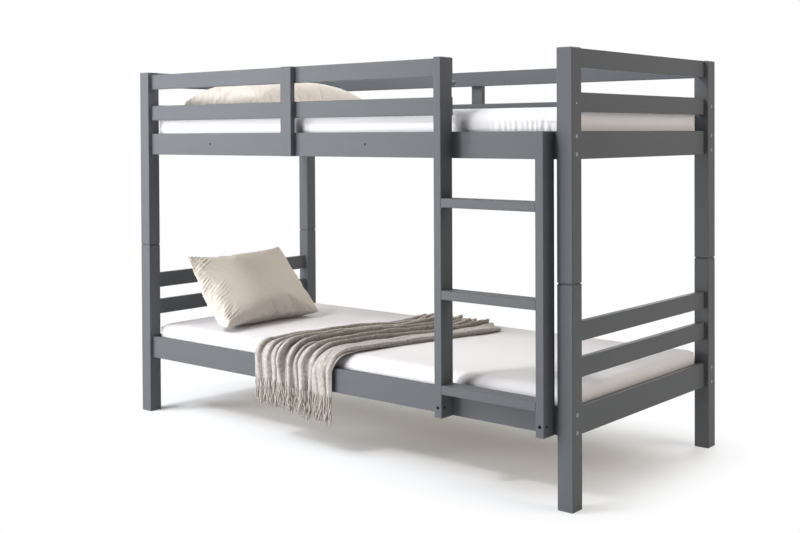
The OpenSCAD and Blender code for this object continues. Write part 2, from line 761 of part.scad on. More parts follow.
// Grid steps of a pillow along its width and its height.
pillow_u = 22;
pillow_v = 14;
function ease(i, n) = sin(180 * (i / n - 0.5));
function swell(u, v) = pow(max(0, (1 - u * u) * (1 - v * v)), 0.42);

// Point of a cushion of half sizes a, b: sides drawn in, crowned by rise above its seam.
function pillow_point(u, v, a, b, rise) =
    [a * u * (1 - 0.05 * (1 - v * v)), b * v * (1 - 0.06 * (1 - u * u)), rise * swell(u, v)];

module grid_shell(top, bottom, nu, nv) {
    size = (nu + 1) * (nv + 1);
    cells = [for (i = [0 : nu - 1], j = [0 : nv - 1]) [i * (nv + 1) + j, (i + 1) * (nv + 1) + j]];
    upper = [for (c = cells, h = [0, 1]) h == 0 ? [c[0], c[0] + 1, c[1]] : [c[1], c[0] + 1, c[1] + 1]];
    lower = [for (f = upper) [for (k = [2, 1, 0]) f[k] + size]];
    rim = concat(
        [for (i = [0 : nu]) i * (nv + 1)], [for (j = [1 : nv]) nu * (nv + 1) + j],
        [for (i = [nu - 1 : -1 : 0]) i * (nv + 1) + nv], [for (j = [nv - 1 : -1 : 1]) j]
    );
    n = len(rim);
    walls = [for (i = [0 : n - 1], h = [0, 1])
        let (a = rim[i], b = rim[(i + 1) % n])
        h == 0 ? [a, b, a + size] : [b, b + size, a + size]];
    polyhedron(concat(top, bottom), concat(upper, lower, walls));
}

// Piped seam: the two sides stay this far apart all round.
seam_t = 3;

module pillow(a, b, rise_top, rise_bottom, floor_z = -1000) {
    top = [for (i = [0 : pillow_u], j = [0 : pillow_v])
        pillow_point(ease(i, pillow_u), ease(j, pillow_v), a, b, rise_top) + [0, 0, seam_t / 2]];
    bottom = [for (i = [0 : pillow_u], j = [0 : pillow_v])
        let (p = pillow_point(ease(i, pillow_u), ease(j, pillow_v), a, b, -rise_bottom))
        [p[0], p[1], max(floor_z, p[2] - seam_t / 2)]];
    grid_shell(top, bottom, pillow_u, pillow_v);
}

// Flat on the upper mattress at the left end; its underside is pressed flat.
upper_pillow_x = -700;
upper_pillow_y = -25;
upper_pillow_seam = 40;
upper_pillow_rise = 92;
upper_pillow_sag = 70;

module upper_pillow() {
    color(pillow_cream) set_in_frame()
        translate([upper_pillow_x, upper_pillow_y, upper_bed_z + mattress_t + upper_pillow_seam])
            rotate([0, 0, 90])
                pillow(upper_pillow_w / 2, upper_pillow_h / 2, upper_pillow_rise, upper_pillow_sag,
                    rest_gap - upper_pillow_seam);
}

// Leaning back towards the left end, its slumped back resting on the mattress.
lower_pillow_mid = [-714, -156, 512];
lower_pillow_front = 62;
lower_pillow_back = 105;
pillow_slump = 0.55;

// Out of the pillow's own axes (across, up the slope, forwards) into the bed's.
function lean(p) = lower_pillow_mid + [
    -cos(lower_pillow_lean) * p[1] + sin(lower_pillow_lean) * p[2],
    p[0],
    sin(lower_pillow_lean) * p[1] + cos(lower_pillow_lean) * p[2]
];
function rest_on(p, z) = [p[0], p[1], max(p[2], z)];

module lower_pillow() {
    a = lower_pillow_w / 2;
    b = lower_pillow_h / 2;
    top_z = lower_bed_z + mattress_t + rest_gap;
    front_side = [for (i = [0 : pillow_u], j = [0 : pillow_v])
        let (u = ease(i, pillow_u), v = ease(j, pillow_v))
        lean(pillow_point(u, v, a, b, lower_pillow_front) + [0, 0, seam_t / 2])];
    back_side = [for (i = [0 : pillow_u], j = [0 : pillow_v])
        let (u = ease(i, pillow_u), v = ease(j, pillow_v), fill = 1 - pillow_slump * v)
        rest_on(lean(pillow_point(u, v, a, b, -lower_pillow_back * fill) - [0, 0, seam_t / 2]), top_z)];
    color(pillow_cream) set_in_frame() grid_shell(back_side, front_side, pillow_u, pillow_v);
}

// The throw lies across the lower mattress, slants to the right towards the back, rolls over the
// front edge and hangs outside the front side rail.
throw_t = 4;
throw_far_y = 335;
throw_far_x = 40;
throw_roll_y = -430;
throw_roll_x = -125;
throw_roll_r = 58;
throw_hang_x = -150;
throw_hem_left = 233;
throw_hem_right = 206;
throw_wave_flat = 12;
throw_wave_hang = 20;
throw_flat_steps = 7;
throw_roll_steps = 5;
throw_hang_steps = 3;
throw_steps = throw_flat_steps + throw_roll_steps + throw_hang_steps;
throw_across = throw_folds * 6;
throw_lift = lower_bed_z + mattress_t + 1;

function mix(a, b, t) = a + (b - a) * t;
function hem_z(t) = mix(throw_hem_left, throw_hem_right, (t + 1) / 2);

// [x of the middle, y, z, angle turned over the edge] of the throw at step k.
function throw_line(k, t) =
    k <= throw_flat_steps
        ? let (f = k / throw_flat_steps)
          [mix(throw_far_x, throw_roll_x, pow(f, 0.8)), mix(throw_far_y, throw_roll_y, f), throw_lift, 0]
    : k <= throw_flat_steps + throw_roll_steps
        ? let (turn = 90 * (k - throw_flat_steps) / throw_roll_steps)
          [mix(throw_roll_x, throw_hang_x, turn / 90), throw_roll_y - throw_roll_r * sin(turn),
           throw_lift - throw_roll_r * (1 - cos(turn)), turn]
    : let (f = (k - throw_flat_steps - throw_roll_steps) / throw_hang_steps)
      [throw_hang_x, throw_roll_y - throw_roll_r, mix(throw_lift - throw_roll_r, hem_z(t), f), 90];

// Height of the folds over the throw's lowest line; they deepen as the cloth hangs.
function fold(t) = 0.5 - 0.5 * cos(180 * throw_folds * (t + 1));
function throw_point(k, t, side) =
    let (c = throw_line(k, t),
         rise = mix(throw_wave_flat, throw_wave_hang, c[3] / 90) * fold(t) + side * throw_t)
    [c[0] + t * throw_w / 2, c[1] - rise * sin(c[3]), c[2] + rise * cos(c[3])];

module throw_cloth() {
    top = [for (k = [0 : throw_steps], i = [0 : throw_across])
        throw_point(k, 2 * i / throw_across - 1, 1)];
    bottom = [for (k = [0 : throw_steps], i = [0 : throw_across])
        throw_point(k, 2 * i / throw_across - 1, 0)];
    color(throw_oat) set_in_frame() grid_shell(bottom, top, throw_steps, throw_across);
}

// Strands under the hem, of slightly uneven length.
strand_w = 4;
strand_l = 92;

module throw_fringe() {
    color(throw_oat) set_in_frame() for (i = [0 : fringe_count - 1]) {
        t = mix(-0.98, 0.98, i / (fringe_count - 1));
        p = throw_point(throw_steps, t, 0.5);
        drop = strand_l + 5 * sin(137 * i);
        translate([p[0], p[1], p[2] - drop]) linear_extrude(drop) square(strand_w, center = true);
    }
}

// ---- nodes ----

lower_post(left, front);  // lower_post_front_left
lower_post(right, front);  // lower_post_front_right
lower_post(left, back);  // lower_post_back_left
lower_post(right, back);  // lower_post_back_right
upper_post(left, front);  // upper_post_front_left
upper_post(right, front);  // upper_post_front_right
upper_post(left, back);  // upper_post_back_left
upper_post(right, back);  // upper_post_back_right
side_rail(front, lower_board_z);  // lower_side_rail_front
side_rail(back, lower_board_z);  // lower_side_rail_back
side_rail(front, upper_board_z);  // upper_side_rail_front
side_rail(back, upper_board_z);  // upper_side_rail_back
end_board(left, lower_board_z);  // lower_left_end_board
end_rail(left, end_rail_low_z);  // lower_left_end_rail_low
end_rail(left, end_rail_top_z);  // lower_left_end_rail_top
end_board(right, lower_board_z);  // lower_right_end_board
end_rail(right, end_rail_low_z);  // lower_right_end_rail_low
end_rail(right, end_rail_top_z);  // lower_right_end_rail_top
end_board(left, upper_board_z);  // upper_left_end_board
end_rail(left, guard_mid_z);  // upper_left_end_rail_mid
end_rail(left, guard_top_z);  // upper_left_end_rail_top
end_board(right, upper_board_z);  // upper_right_end_board
end_rail(right, guard_mid_z);  // upper_right_end_rail_mid
end_rail(right, guard_top_z);  // upper_right_end_rail_top
guard_rail_mid(front);  // guard_rail_front_mid
guard_rail_top(front);  // guard_rail_front_top
guard_rail_mid(back);  // guard_rail_back_mid
guard_rail_top(back);  // guard_rail_back_top
guard_batten(front);  // guard_batten_front
guard_batten(back);  // guard_batten_back
ladder_stile(left_stile_x, front_top_edge, right);  // ladder_stile_left
ladder_stile(right_stile_x, upper_rail_top, left);  // ladder_stile_right
ladder_rung(low_rung_z);  // ladder_rung_low
ladder_rung(mid_rung_z);  // ladder_rung_mid
ladder_rung(top_rung_z);  // ladder_rung_top
slat_cleat(front, lower_cleat_z);  // lower_cleat_front
slat_cleat(back, lower_cleat_z);  // lower_cleat_back
slat_cleat(front, upper_cleat_z);  // upper_cleat_front
slat_cleat(back, upper_cleat_z);  // upper_cleat_back
slat_row(lower_cleat_z);  // lower_slats
slat_row(upper_cleat_z);  // upper_slats
slat_tapes(lower_cleat_z);  // lower_slat_tapes
slat_tapes(upper_cleat_z);  // upper_slat_tapes
post_pins();
frame_bolts();
barrel_nuts();
bolt_hole_plug();
rail_dowels();
rung_dowels();
guard_screws();
base_screws();
ladder_bolts();
ladder_nuts();
mattress(lower_bed_z);  // lower_mattress
mattress(upper_bed_z);  // upper_mattress
lower_pillow();
upper_pillow();
throw_cloth();
throw_fringe();
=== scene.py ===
"""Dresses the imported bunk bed: satin paint on the timber, bare pine slats, zinc hardware, fitted
sheets on both mattresses, two feather pillows and a gathered woven throw with a twisted fringe.

Metres, in the part's own frame: +X along the bed to the ladder end, +Y from the ladder to the
back, +Z up from the floor.
"""

import json
import logging
import math
from dataclasses import dataclass
from enum import Enum
from functools import partial
from random import Random
from typing import Callable, Optional, Union

import bmesh
import bpy
import numpy as np
from mathutils import Matrix, Vector, noise


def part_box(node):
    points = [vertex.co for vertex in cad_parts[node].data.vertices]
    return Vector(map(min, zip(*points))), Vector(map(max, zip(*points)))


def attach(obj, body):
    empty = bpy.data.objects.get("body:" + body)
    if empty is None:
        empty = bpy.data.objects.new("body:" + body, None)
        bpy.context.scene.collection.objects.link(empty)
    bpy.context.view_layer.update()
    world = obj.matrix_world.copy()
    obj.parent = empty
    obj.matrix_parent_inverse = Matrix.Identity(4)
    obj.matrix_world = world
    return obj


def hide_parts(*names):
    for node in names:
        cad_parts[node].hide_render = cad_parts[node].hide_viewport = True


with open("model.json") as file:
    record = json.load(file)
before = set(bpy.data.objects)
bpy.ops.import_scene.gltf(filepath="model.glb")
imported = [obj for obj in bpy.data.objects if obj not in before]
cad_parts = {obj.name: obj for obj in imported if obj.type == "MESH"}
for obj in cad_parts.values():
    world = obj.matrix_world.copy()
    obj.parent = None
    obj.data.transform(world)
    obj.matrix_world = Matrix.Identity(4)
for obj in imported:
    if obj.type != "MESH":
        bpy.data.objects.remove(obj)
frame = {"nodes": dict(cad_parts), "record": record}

LOG = logging.getLogger("bunk_bed")
MM = 0.001
# The bed's own centre line lies this far behind the part's origin.
BED_Y = 20 * MM

Colour = tuple[float, float, float, float]
Triple = tuple[float, float, float]
Source = Union[bpy.types.Node, bpy.types.NodeSocket]
Adder = Callable[..., bpy.types.Node]


# ---- small tools -----------------------------------------------------------------------------


def linear(code: str, level: float = 1.0) -> Colour:
    """Turns an sRGB hex code into the linear colour that a shader takes.

    Args:
        code: six hex digits after a hash sign.
        level: factor on the linear colour, for a darker or lighter shade of it.

    Returns:
        Red, green, blue and an alpha of 1.
    """
    parts = [int(code[i : i + 2], 16) / 255 for i in (1, 3, 5)]
    curve = [p / 12.92 if p <= 0.04045 else ((p + 0.055) / 1.055) ** 2.4 for p in parts]
    return (*(min(1.0, c * level) for c in curve), 1.0)


def add_node(
    tree: bpy.types.NodeTree,
    kind: str,
    inputs: Optional[dict[Union[str, int], object]] = None,
    **settings: object,
) -> bpy.types.Node:
    """Adds a node with its settings and links.

    A colour Mix takes its share as input 0 and its colours as 6 and 7, and gives output 2. A
    MapRange takes its old range as inputs 1 and 2 and its new one as 3 and 4.

    Args:
        tree: the node tree of a material or of the world.
        kind: the node's type, without the leading ShaderNode.
        inputs: input name or number to a value, or to the socket or node that feeds it. A node
            feeds its first output.
        **settings: attributes of the node itself.

    Returns:
        The new node.
    """
    made = tree.nodes.new("ShaderNode" + kind)
    for name, value in settings.items():
        setattr(made, name, value)
    for name, value in (inputs or {}).items():
        if isinstance(value, bpy.types.Node):
            value = value.outputs[0]
        if isinstance(value, bpy.types.NodeSocket):
            tree.links.new(value, made.inputs[name])
        else:
            made.inputs[name].default_value = value
    return made


def smooth_step(low: float, high: float, value: np.ndarray) -> np.ndarray:
    """Eases from 0 at low to 1 at high."""
    x = np.clip((value - low) / (high - low), 0.0, 1.0)
    return x * x * (3 - 2 * x)


def wander(points: np.ndarray, size: float, seed: float = 0.0) -> np.ndarray:
    """Soft irregular variation over some points.

    Args:
        points: places in metres, one row each.
        size: distance in metres over which the variation changes.
        seed: moves the pattern, so that two uses differ.

    Returns:
        A value from about -1 to 1 for each point.
    """
    shift = Vector((seed * 7.3, seed * 3.1, seed * 5.7))
    return np.array([noise.noise(Vector(p) / size + shift) for p in points])


def wave(turns: np.ndarray) -> np.ndarray:
    """A wave from 0 to 1 over a number of turns."""
    return 0.5 + 0.5 * np.sin(math.tau * turns)


def read_points(mesh: bpy.types.Mesh, what: str = "co") -> np.ndarray:
    """The mesh's vertices as rows of a table, or another three values of each.

    Args:
        mesh: the mesh.
        what: the vertices' attribute that is read.

    Returns:
        One row of three numbers for each vertex.
    """
    table = np.empty(len(mesh.vertices) * 3)
    mesh.vertices.foreach_get(what, table)
    return table.reshape(-1, 3)


def write_points(mesh: bpy.types.Mesh, table: np.ndarray) -> None:
    """Puts a table of rows back as the mesh's vertices."""
    mesh.vertices.foreach_set("co", table.reshape(-1))
    mesh.update()


def to_object(shape: bmesh.types.BMesh, name: str, smooth: bool = True) -> bpy.types.Object:
    """Makes an object at the origin out of a finished bmesh.

    Args:
        shape: the geometry, already in its place. It is freed.
        name: the piece's name.
        smooth: whether its faces are shaded smooth.

    Returns:
        The new object, linked to the scene.
    """
    mesh = bpy.data.meshes.new(name)
    shape.to_mesh(mesh)
    shape.free()
    mesh.shade_smooth() if smooth else mesh.shade_flat()
    made = bpy.data.objects.new(name, mesh)
    bpy.context.scene.collection.objects.link(made)
    return made


def fix_order(shape: bmesh.types.BMesh) -> None:
    """Sorts edges and faces by their vertices, so that a simulation on them repeats exactly.

    Args:
        shape: the geometry, whose vertices come in the same order each run.
    """
    shape.verts.index_update()
    count = len(shape.verts)

    def rank(item: Union[bmesh.types.BMEdge, bmesh.types.BMFace]) -> int:
        """A number of its own for each edge or face."""
        corners = [vert.index for vert in item.verts]
        return min(corners) * count + max(corners)

    shape.edges.sort(key=rank)
    shape.faces.sort(key=rank)


def apply_modifiers(piece: bpy.types.Object) -> None:
    """Bakes every modifier of a piece into its mesh, at the current frame.

    Args:
        piece: the piece, which gets a new mesh under the old one's name.
    """
    graph = bpy.context.evaluated_depsgraph_get()
    graph.update()
    mesh = bpy.data.meshes.new_from_object(piece.evaluated_get(graph))
    old = piece.data
    name = old.name
    piece.modifiers.clear()
    piece.data = mesh
    bpy.data.meshes.remove(old)
    mesh.name = name


def run_cloth(piece: bpy.types.Object, steps: int, weight: float, **settings: object) -> None:
    """Lets a piece move as cloth and bakes where it ends up.

    Args:
        piece: the piece, whose mesh is changed.
        steps: frames that the simulation runs.
        weight: share of gravity that the cloth feels.
        **settings: values of the cloth's own settings.
    """
    cloth = piece.modifiers.new("cloth", "CLOTH")
    for name, value in settings.items():
        setattr(cloth.settings, name, value)
    cloth.settings.effector_weights.gravity = weight
    cloth.collision_settings.distance_min = 2 * MM
    cloth.collision_settings.use_self_collision = False
    cloth.point_cache.frame_start, cloth.point_cache.frame_end = 1, steps
    scene = bpy.context.scene
    for step in range(1, steps + 1):
        scene.frame_set(step)
    apply_modifiers(piece)
    scene.frame_set(1)


def paint_piece(piece: bpy.types.Object, finish: bpy.types.Material) -> None:
    """Gives a piece one material all over and reports it.

    Args:
        piece: the piece.
        finish: its material.
    """
    piece.data.materials.clear()
    piece.data.materials.append(finish)
    LOG.info("%s: %d faces, %s", piece.name, len(piece.data.polygons), finish.name)


# ---- finishes --------------------------------------------------------------------------------


class Grain(Enum):
    """Which way the timber's fibres run in a member, as the turn that lays them along X."""

    ALONG_X = (0.0, 0.0, 0.0)
    ALONG_Y = (0.0, 0.0, math.pi / 2)
    UPRIGHT = (0.0, math.pi / 2, 0.0)


def start_material(name: str) -> tuple[bpy.types.Material, Adder]:
    """A new material with an empty tree, and the function that adds a node to it.

    Args:
        name: the material's name.

    Returns:
        The material and the function.
    """
    material = bpy.data.materials.new(name)
    material.use_nodes = True
    material.node_tree.nodes.clear()
    return material, partial(add_node, material.node_tree)


def place_pattern(
    add: Adder, scale: Triple = (1, 1, 1), grain: Grain = Grain.ALONG_X
) -> bpy.types.Node:
    """Object coordinates, turned and then scaled, for a pattern with its own direction.

    Args:
        add: adds a node to the material.
        scale: factor along each axis after the turn.
        grain: the direction that the pattern follows.

    Returns:
        The node that gives the coordinates.
    """
    place = add("TexCoord").outputs["Object"]
    turned = add("Mapping", {"Vector": place, "Rotation": grain.value})
    return add("Mapping", {"Vector": turned, "Scale": scale})


def end_material(
    add: Adder,
    colour: Source,
    reliefs: tuple[tuple[Source, float, float], ...],
    **gloss: object,
) -> None:
    """Gives a material its surface: colour, relief and gloss.

    Args:
        add: adds a node to the material.
        colour: what gives its colour.
        reliefs: height pattern, strength and height in metres of each relief, coarse to fine.
        **gloss: the shader's other inputs, with _ for the spaces in their names.
    """
    inputs = {name.replace("_", " "): value for name, value in gloss.items()}
    normal = {}
    for height, strength, distance in reliefs:
        relief = {"Strength": strength, "Distance": distance, "Height": height}
        normal = {"Normal": add("Bump", {**relief, **normal})}
    shader = add("BsdfPrincipled", {"Base Color": colour, **inputs, **normal})
    add("OutputMaterial", {"Surface": shader})


@dataclass(frozen=True)
class SatinPaint:
    """Two sprayed coats of satin lacquer on planed pine.

    It gives the eye a cool grey with a soft gloss, a trace of the grain under it and the faint
    mottle of a sprayed coat.
    """

    colour: str = "#595c60"
    roughness: float = 0.46
    # Share of a plain varnish's mirror shine that is left in the matted lacquer.
    shine: float = 0.13
    # Real growth rings show through 3 mm apart and drawn out along the member.
    ring_mm: float = 3.0
    streak_mm: float = 260.0
    # Broad cloudiness of the coat, cycles to the metre along and across the member.
    cloud: Triple = (1.2, 5.0, 5.0)
    mottle_mm: float = 5.0

    def make(self, grain: Grain) -> bpy.types.Material:
        """Builds the paint for members whose grain runs one way.

        Args:
            grain: the way it runs.

        Returns:
            The paint.
        """
        material, add = start_material(f"satin_lacquer_on_pine_{grain.name.lower()}")
        along, across = 1000 / self.streak_mm, 1000 / self.ring_mm
        grainwise = place_pattern(add, (along, across, across), grain)
        detail = {"Scale": 1.0, "Detail": 4.0, "Roughness": 0.6}
        rings = add("TexNoise", {"Vector": grainwise, **detail}).outputs["Fac"]
        place = place_pattern(add, self.cloud, grain)
        broad = add("TexNoise", {"Vector": place, "Scale": 1.0, "Detail": 2.0}).outputs["Fac"]
        ends = {6: linear(self.colour, 0.93), 7: linear(self.colour, 1.07)}
        tone = add("Mix", {0: broad, **ends}, data_type="RGBA")
        dark = add("MapRange", {"Value": rings, 1: 0.35, 2: 0.62, 3: 0.0, 4: 0.10})
        ends = {6: tone.outputs[2], 7: linear(self.colour, 0.55)}
        shade = add("Mix", {0: dark, **ends}, data_type="RGBA")
        scale = {"Scale": 1000 / self.mottle_mm, "Detail": 2.0}
        mottle = add("TexNoise", {"Vector": place_pattern(add), **scale}).outputs["Fac"]
        ends = {3: self.roughness - 0.05, 4: self.roughness + 0.06}
        gloss = add("MapRange", {"Value": broad, 1: 0.3, 2: 0.7, **ends})
        end_material(
            add,
            shade.outputs[2],
            ((rings, 0.35, 0.2 * MM), (mottle, 0.25, 0.2 * MM)),
            Roughness=gloss,
            IOR=1.45,
            Specular_IOR_Level=self.shine,
        )
        return material


@dataclass(frozen=True)
class PlanedWood:
    """Planed unpainted timber: pale early wood, darker late wood, a few knots.

    It is pine unless told otherwise: straw and honey-coloured.
    """

    name: str = "planed_pine"
    early: str = "#dccfb4"
    late: str = "#c4a983"
    knot: str = "#7d5430"
    # The growth rings are 5 mm apart on a flat-sawn slat.
    ring_mm: float = 5.0

    def make(self, grain: Grain) -> bpy.types.Material:
        """Builds the wood for members whose grain runs one way.

        Args:
            grain: the way it runs.

        Returns:
            The bare wood.
        """
        material, add = start_material(f"{self.name}_{grain.name.lower()}")
        across = 1000 / self.ring_mm
        place = place_pattern(add, (2.2, across, across), grain)
        warp = add("TexNoise", {"Vector": place_pattern(add, (3, 14, 14), grain), "Scale": 1.0})
        bend = {0: warp.outputs["Color"], 1: (0.0, 7.0, 7.0)}
        bent = add("VectorMath", bend, operation="MULTIPLY")
        grained = add("VectorMath", {0: place, 1: bent}, operation="ADD")
        detail = {"Scale": 0.32, "Distortion": 1.2, "Detail": 2.0, "Detail Scale": 1.5}
        sawn = {"bands_direction": "DIAGONAL", "wave_profile": "SAW"}
        rings = add("TexWave", {"Vector": grained, **detail}, **sawn).outputs["Fac"]
        ends = {6: linear(self.early), 7: linear(self.late)}
        wood = add("Mix", {0: rings, **ends}, data_type="RGBA")
        place = place_pattern(add, (3.1, 9.0, 9.0), grain)
        spots = add("TexVoronoi", {"Vector": place, "Scale": 1.0}).outputs["Distance"]
        knots = add("MapRange", {"Value": spots, 1: 0.05, 2: 0.11, 3: 1.0, 4: 0.0})
        ends = {6: wood.outputs[2], 7: linear(self.knot)}
        colour = add("Mix", {0: knots, **ends}, data_type="RGBA")
        end_material(add, colour.outputs[2], ((rings, 0.3, 0.2 * MM),), Roughness=0.62, IOR=1.48)
        return material


@dataclass(frozen=True)
class ZincPlate:
    """Bright zinc plating on pressed steel heads: a grey metal, slightly blotched and brushed."""

    colour: str = "#9a9c9e"
    roughness: float = 0.34
    blotch_mm: float = 2.5

    def make(self) -> bpy.types.Material:
        """Builds the plating.

        Returns:
            The plating's material.
        """
        material, add = start_material("zinc_plated_steel")
        scale = {"Scale": 1000 / self.blotch_mm, "Detail": 3.0}
        blotch = add("TexNoise", {"Vector": place_pattern(add), **scale}).outputs["Fac"]
        ends = {6: linear(self.colour, 0.8), 7: linear(self.colour)}
        tone = add("Mix", {0: blotch, **ends}, data_type="RGBA")
        ends = {3: self.roughness - 0.08, 4: self.roughness + 0.1}
        gloss = add("MapRange", {"Value": blotch, **ends})
        end_material(add, tone.outputs[2], (), Metallic=1.0, Roughness=gloss)
        return material


@dataclass(frozen=True)
class MouldedCap:
    """Moulded light grey polypropylene: matt, with a fine spark-eroded texture."""

    colour: str = "#b4b6b7"
    # The texture's real grit is 0.1 mm; it is drawn coarser so that it shows.
    grit_mm: float = 0.625

    def make(self) -> bpy.types.Material:
        """Builds the plastic.

        Returns:
            The plastic's material.
        """
        material, add = start_material("moulded_polypropylene")
        scale = {"Scale": 1000 / self.grit_mm}
        grit = add("TexNoise", {"Vector": place_pattern(add), **scale}).outputs["Fac"]
        ends = {6: linear(self.colour, 0.94), 7: linear(self.colour, 1.04)}
        tone = add("Mix", {0: grit, **ends}, data_type="RGBA")
        end_material(add, tone.outputs[2], ((grit, 0.2, 0.1 * MM),), Roughness=0.48, IOR=1.49)
        return material


@dataclass(frozen=True)
class WebTape:
    """Woven cotton tape: a chalky white ribbon with fine cross ribs."""

    colour: str = "#e4e3df"
    # The ribs are 0.8 mm apart on the tape and drawn at 2 mm so that they show.
    rib_mm: float = 2.0

    def make(self) -> bpy.types.Material:
        """Builds the tape.

        Returns:
            The tape's material.
        """
        material, add = start_material("woven_cotton_tape")
        # A wave texture turns by 20 radians a metre at a scale of 1.
        scale = {"Scale": math.tau / 20 * 1000 / self.rib_mm, "Distortion": 0.4}
        ribbed = {"Vector": place_pattern(add), **scale}
        ribs = add("TexWave", ribbed, bands_direction="X").outputs["Fac"]
        ends = {6: linear(self.colour, 0.82), 7: linear(self.colour)}
        tone = add("Mix", {0: ribs, **ends}, data_type="RGBA")
        end_material(add, tone.outputs[2], ((ribs, 0.5, 0.4 * MM),), Roughness=0.85)
        return material


@dataclass(frozen=True)
class Cloth:
    """A woven or knitted cloth: what its thread, colour and hand give the eye.

    Attributes:
        name: the cloth's common name.
        colour: its colour on the threads' tops, in the light.
        shade: painted shade between the threads, mixed in where the weave lies low.
        thread_mm: thread spacing as drawn, which is coarser than the real one where it says so.
        relief_mm: height of the threads as drawn.
        sheen: how strongly the nap catches grazing light.
        fleck: how much single threads differ in colour.
        crease_mm: size of the soft crumpling in the cloth.
        crease_depth_mm: depth of that crumpling.
        uses_uv: whether the threads follow the piece's own UV map, in metres.
    """

    name: str
    colour: str
    shade: str
    thread_mm: float
    relief_mm: float
    sheen: float
    fleck: float
    crease_mm: float
    crease_depth_mm: float
    uses_uv: bool = False

    def make(self) -> bpy.types.Material:
        """Builds the cloth.

        Returns:
            The cloth's material.
        """
        material, add = start_material(self.name)
        coords = add("TexCoord").outputs
        place = coords["UV"] if self.uses_uv else coords["Object"]
        x, y, z = add("SeparateXYZ", {0: place}).outputs
        if self.uses_uv:
            ways = (x, y)
        else:
            # On a cushion or mattress the two diagonals cut every face into a fine check.
            rising = add("Math", {0: x, 1: z}, operation="ADD")
            falling = add("Math", {0: y, 1: z}, operation="SUBTRACT")
            ways = (rising, falling)
        pitch = math.tau * 1000 / self.thread_mm
        turns = [add("Math", {0: way, 1: pitch}, operation="MULTIPLY") for way in ways]
        warp, weft = (add("Math", {0: turn}, operation="SINE") for turn in turns)
        weave = add("Math", {0: warp, 1: weft}, operation="MULTIPLY")
        lift = add("MapRange", {"Value": weave, 1: -1.0, 2: 1.0})
        # Single threads stand out over about four of them.
        scale = {"Scale": 1000 / (self.thread_mm * 4), "Detail": 4.0}
        yarn = add("TexNoise", {"Vector": place, **scale})
        scale = {"Scale": 1000 / self.crease_mm, "Detail": 3.0, "Distortion": 0.6}
        crumple = add("TexNoise", {"Vector": coords["Object"], **scale})
        # Painted shade: the darker shade goes where the weave is low, between the threads.
        ends = {6: linear(self.shade), 7: linear(self.colour)}
        weave_with_painted_shade = add("Mix", {0: lift, **ends}, data_type="RGBA")
        ends = {1: 0.3, 2: 0.7, 3: 1 - self.fleck, 4: 1 + self.fleck}
        flecks = add("MapRange", {"Value": yarn.outputs["Fac"], **ends})
        flecked = {0: weave_with_painted_shade.outputs[2], "Scale": flecks}
        end_material(
            add,
            add("VectorMath", flecked, operation="SCALE"),
            (
                (crumple.outputs["Fac"], 0.6, self.crease_depth_mm * MM),
                (lift, 0.5, self.relief_mm * MM),
            ),
            Roughness=0.88,
            IOR=1.46,
            Specular_IOR_Level=0.3,
            Sheen_Weight=self.sheen,
            Sheen_Roughness=0.5,
        )
        return material


# White cotton jersey: smooth, with fine knit ribs (0.6 mm, drawn at 1.6 mm) and a faint painted
# shade between them.
SHEET_JERSEY = Cloth("white_cotton_jersey", "#dad9dd", "#d0cfd3", 1.6, 0.12, 0.10, 0.01, 60, 0.8)
# Unbleached plain-woven cotton: warm cream, matt, threads 0.7 mm apart drawn at 1.5 mm, with a
# warmer painted shade between them.
PILLOW_COTTON = Cloth("cream_plain_cotton", "#cbc6c0", "#bab2a7", 1.5, 0.15, 0.15, 0.03, 22, 0.9)
# Loosely woven wool mix in oat: lighter and darker soft threads, 2.5 mm apart drawn at 3.4 mm, with
# a dark painted shade between them.
THROW_WEAVE = Cloth(
    "oat_woven_wool", "#c2bdb8", "#7b7672", 3.4, 0.9, 0.25, 0.24, 15, 3.0, uses_uv=True
)


@dataclass(frozen=True)
class TwistedYarn:
    """Two-ply wool fringe: matt oat yarn whose twist shows as slanting dark lines of painted shade.
    """

    colour: str = "#aaa39c"
    shade: str = "#77706a"
    twist_mm: float = 7.0
    # How far the lines slant: turns across the strand for one along it.
    slant: float = 0.8

    def make(self) -> bpy.types.Material:
        """Builds the yarn.

        Returns:
            The yarn's material.
        """
        material, add = start_material("twisted_wool_fringe")
        x, _, z = add("SeparateXYZ", {0: add("TexCoord").outputs["Object"]}).outputs
        pitch = math.tau * 1000 / self.twist_mm
        turn = add("Math", {0: z, 1: pitch}, operation="MULTIPLY")
        lean = add("Math", {0: x, 1: pitch * self.slant}, operation="MULTIPLY")
        both = add("Math", {0: turn, 1: lean}, operation="ADD")
        ply = add("Math", {0: both}, operation="SINE")
        lift = add("MapRange", {"Value": ply, 1: -1.4, 2: 0.6})
        # Painted shade: the grooves between the plies take the darker shade.
        ends = {6: linear(self.shade), 7: linear(self.colour)}
        tone = add("Mix", {0: lift, **ends}, data_type="RGBA")
        nap = {"Sheen_Weight": 0.3, "Sheen_Roughness": 0.5}
        end_material(add, tone.outputs[2], ((lift, 0.6, 0.8 * MM),), Roughness=0.9, **nap)
        return material


# ---- the timber frame and its hardware -------------------------------------------------------


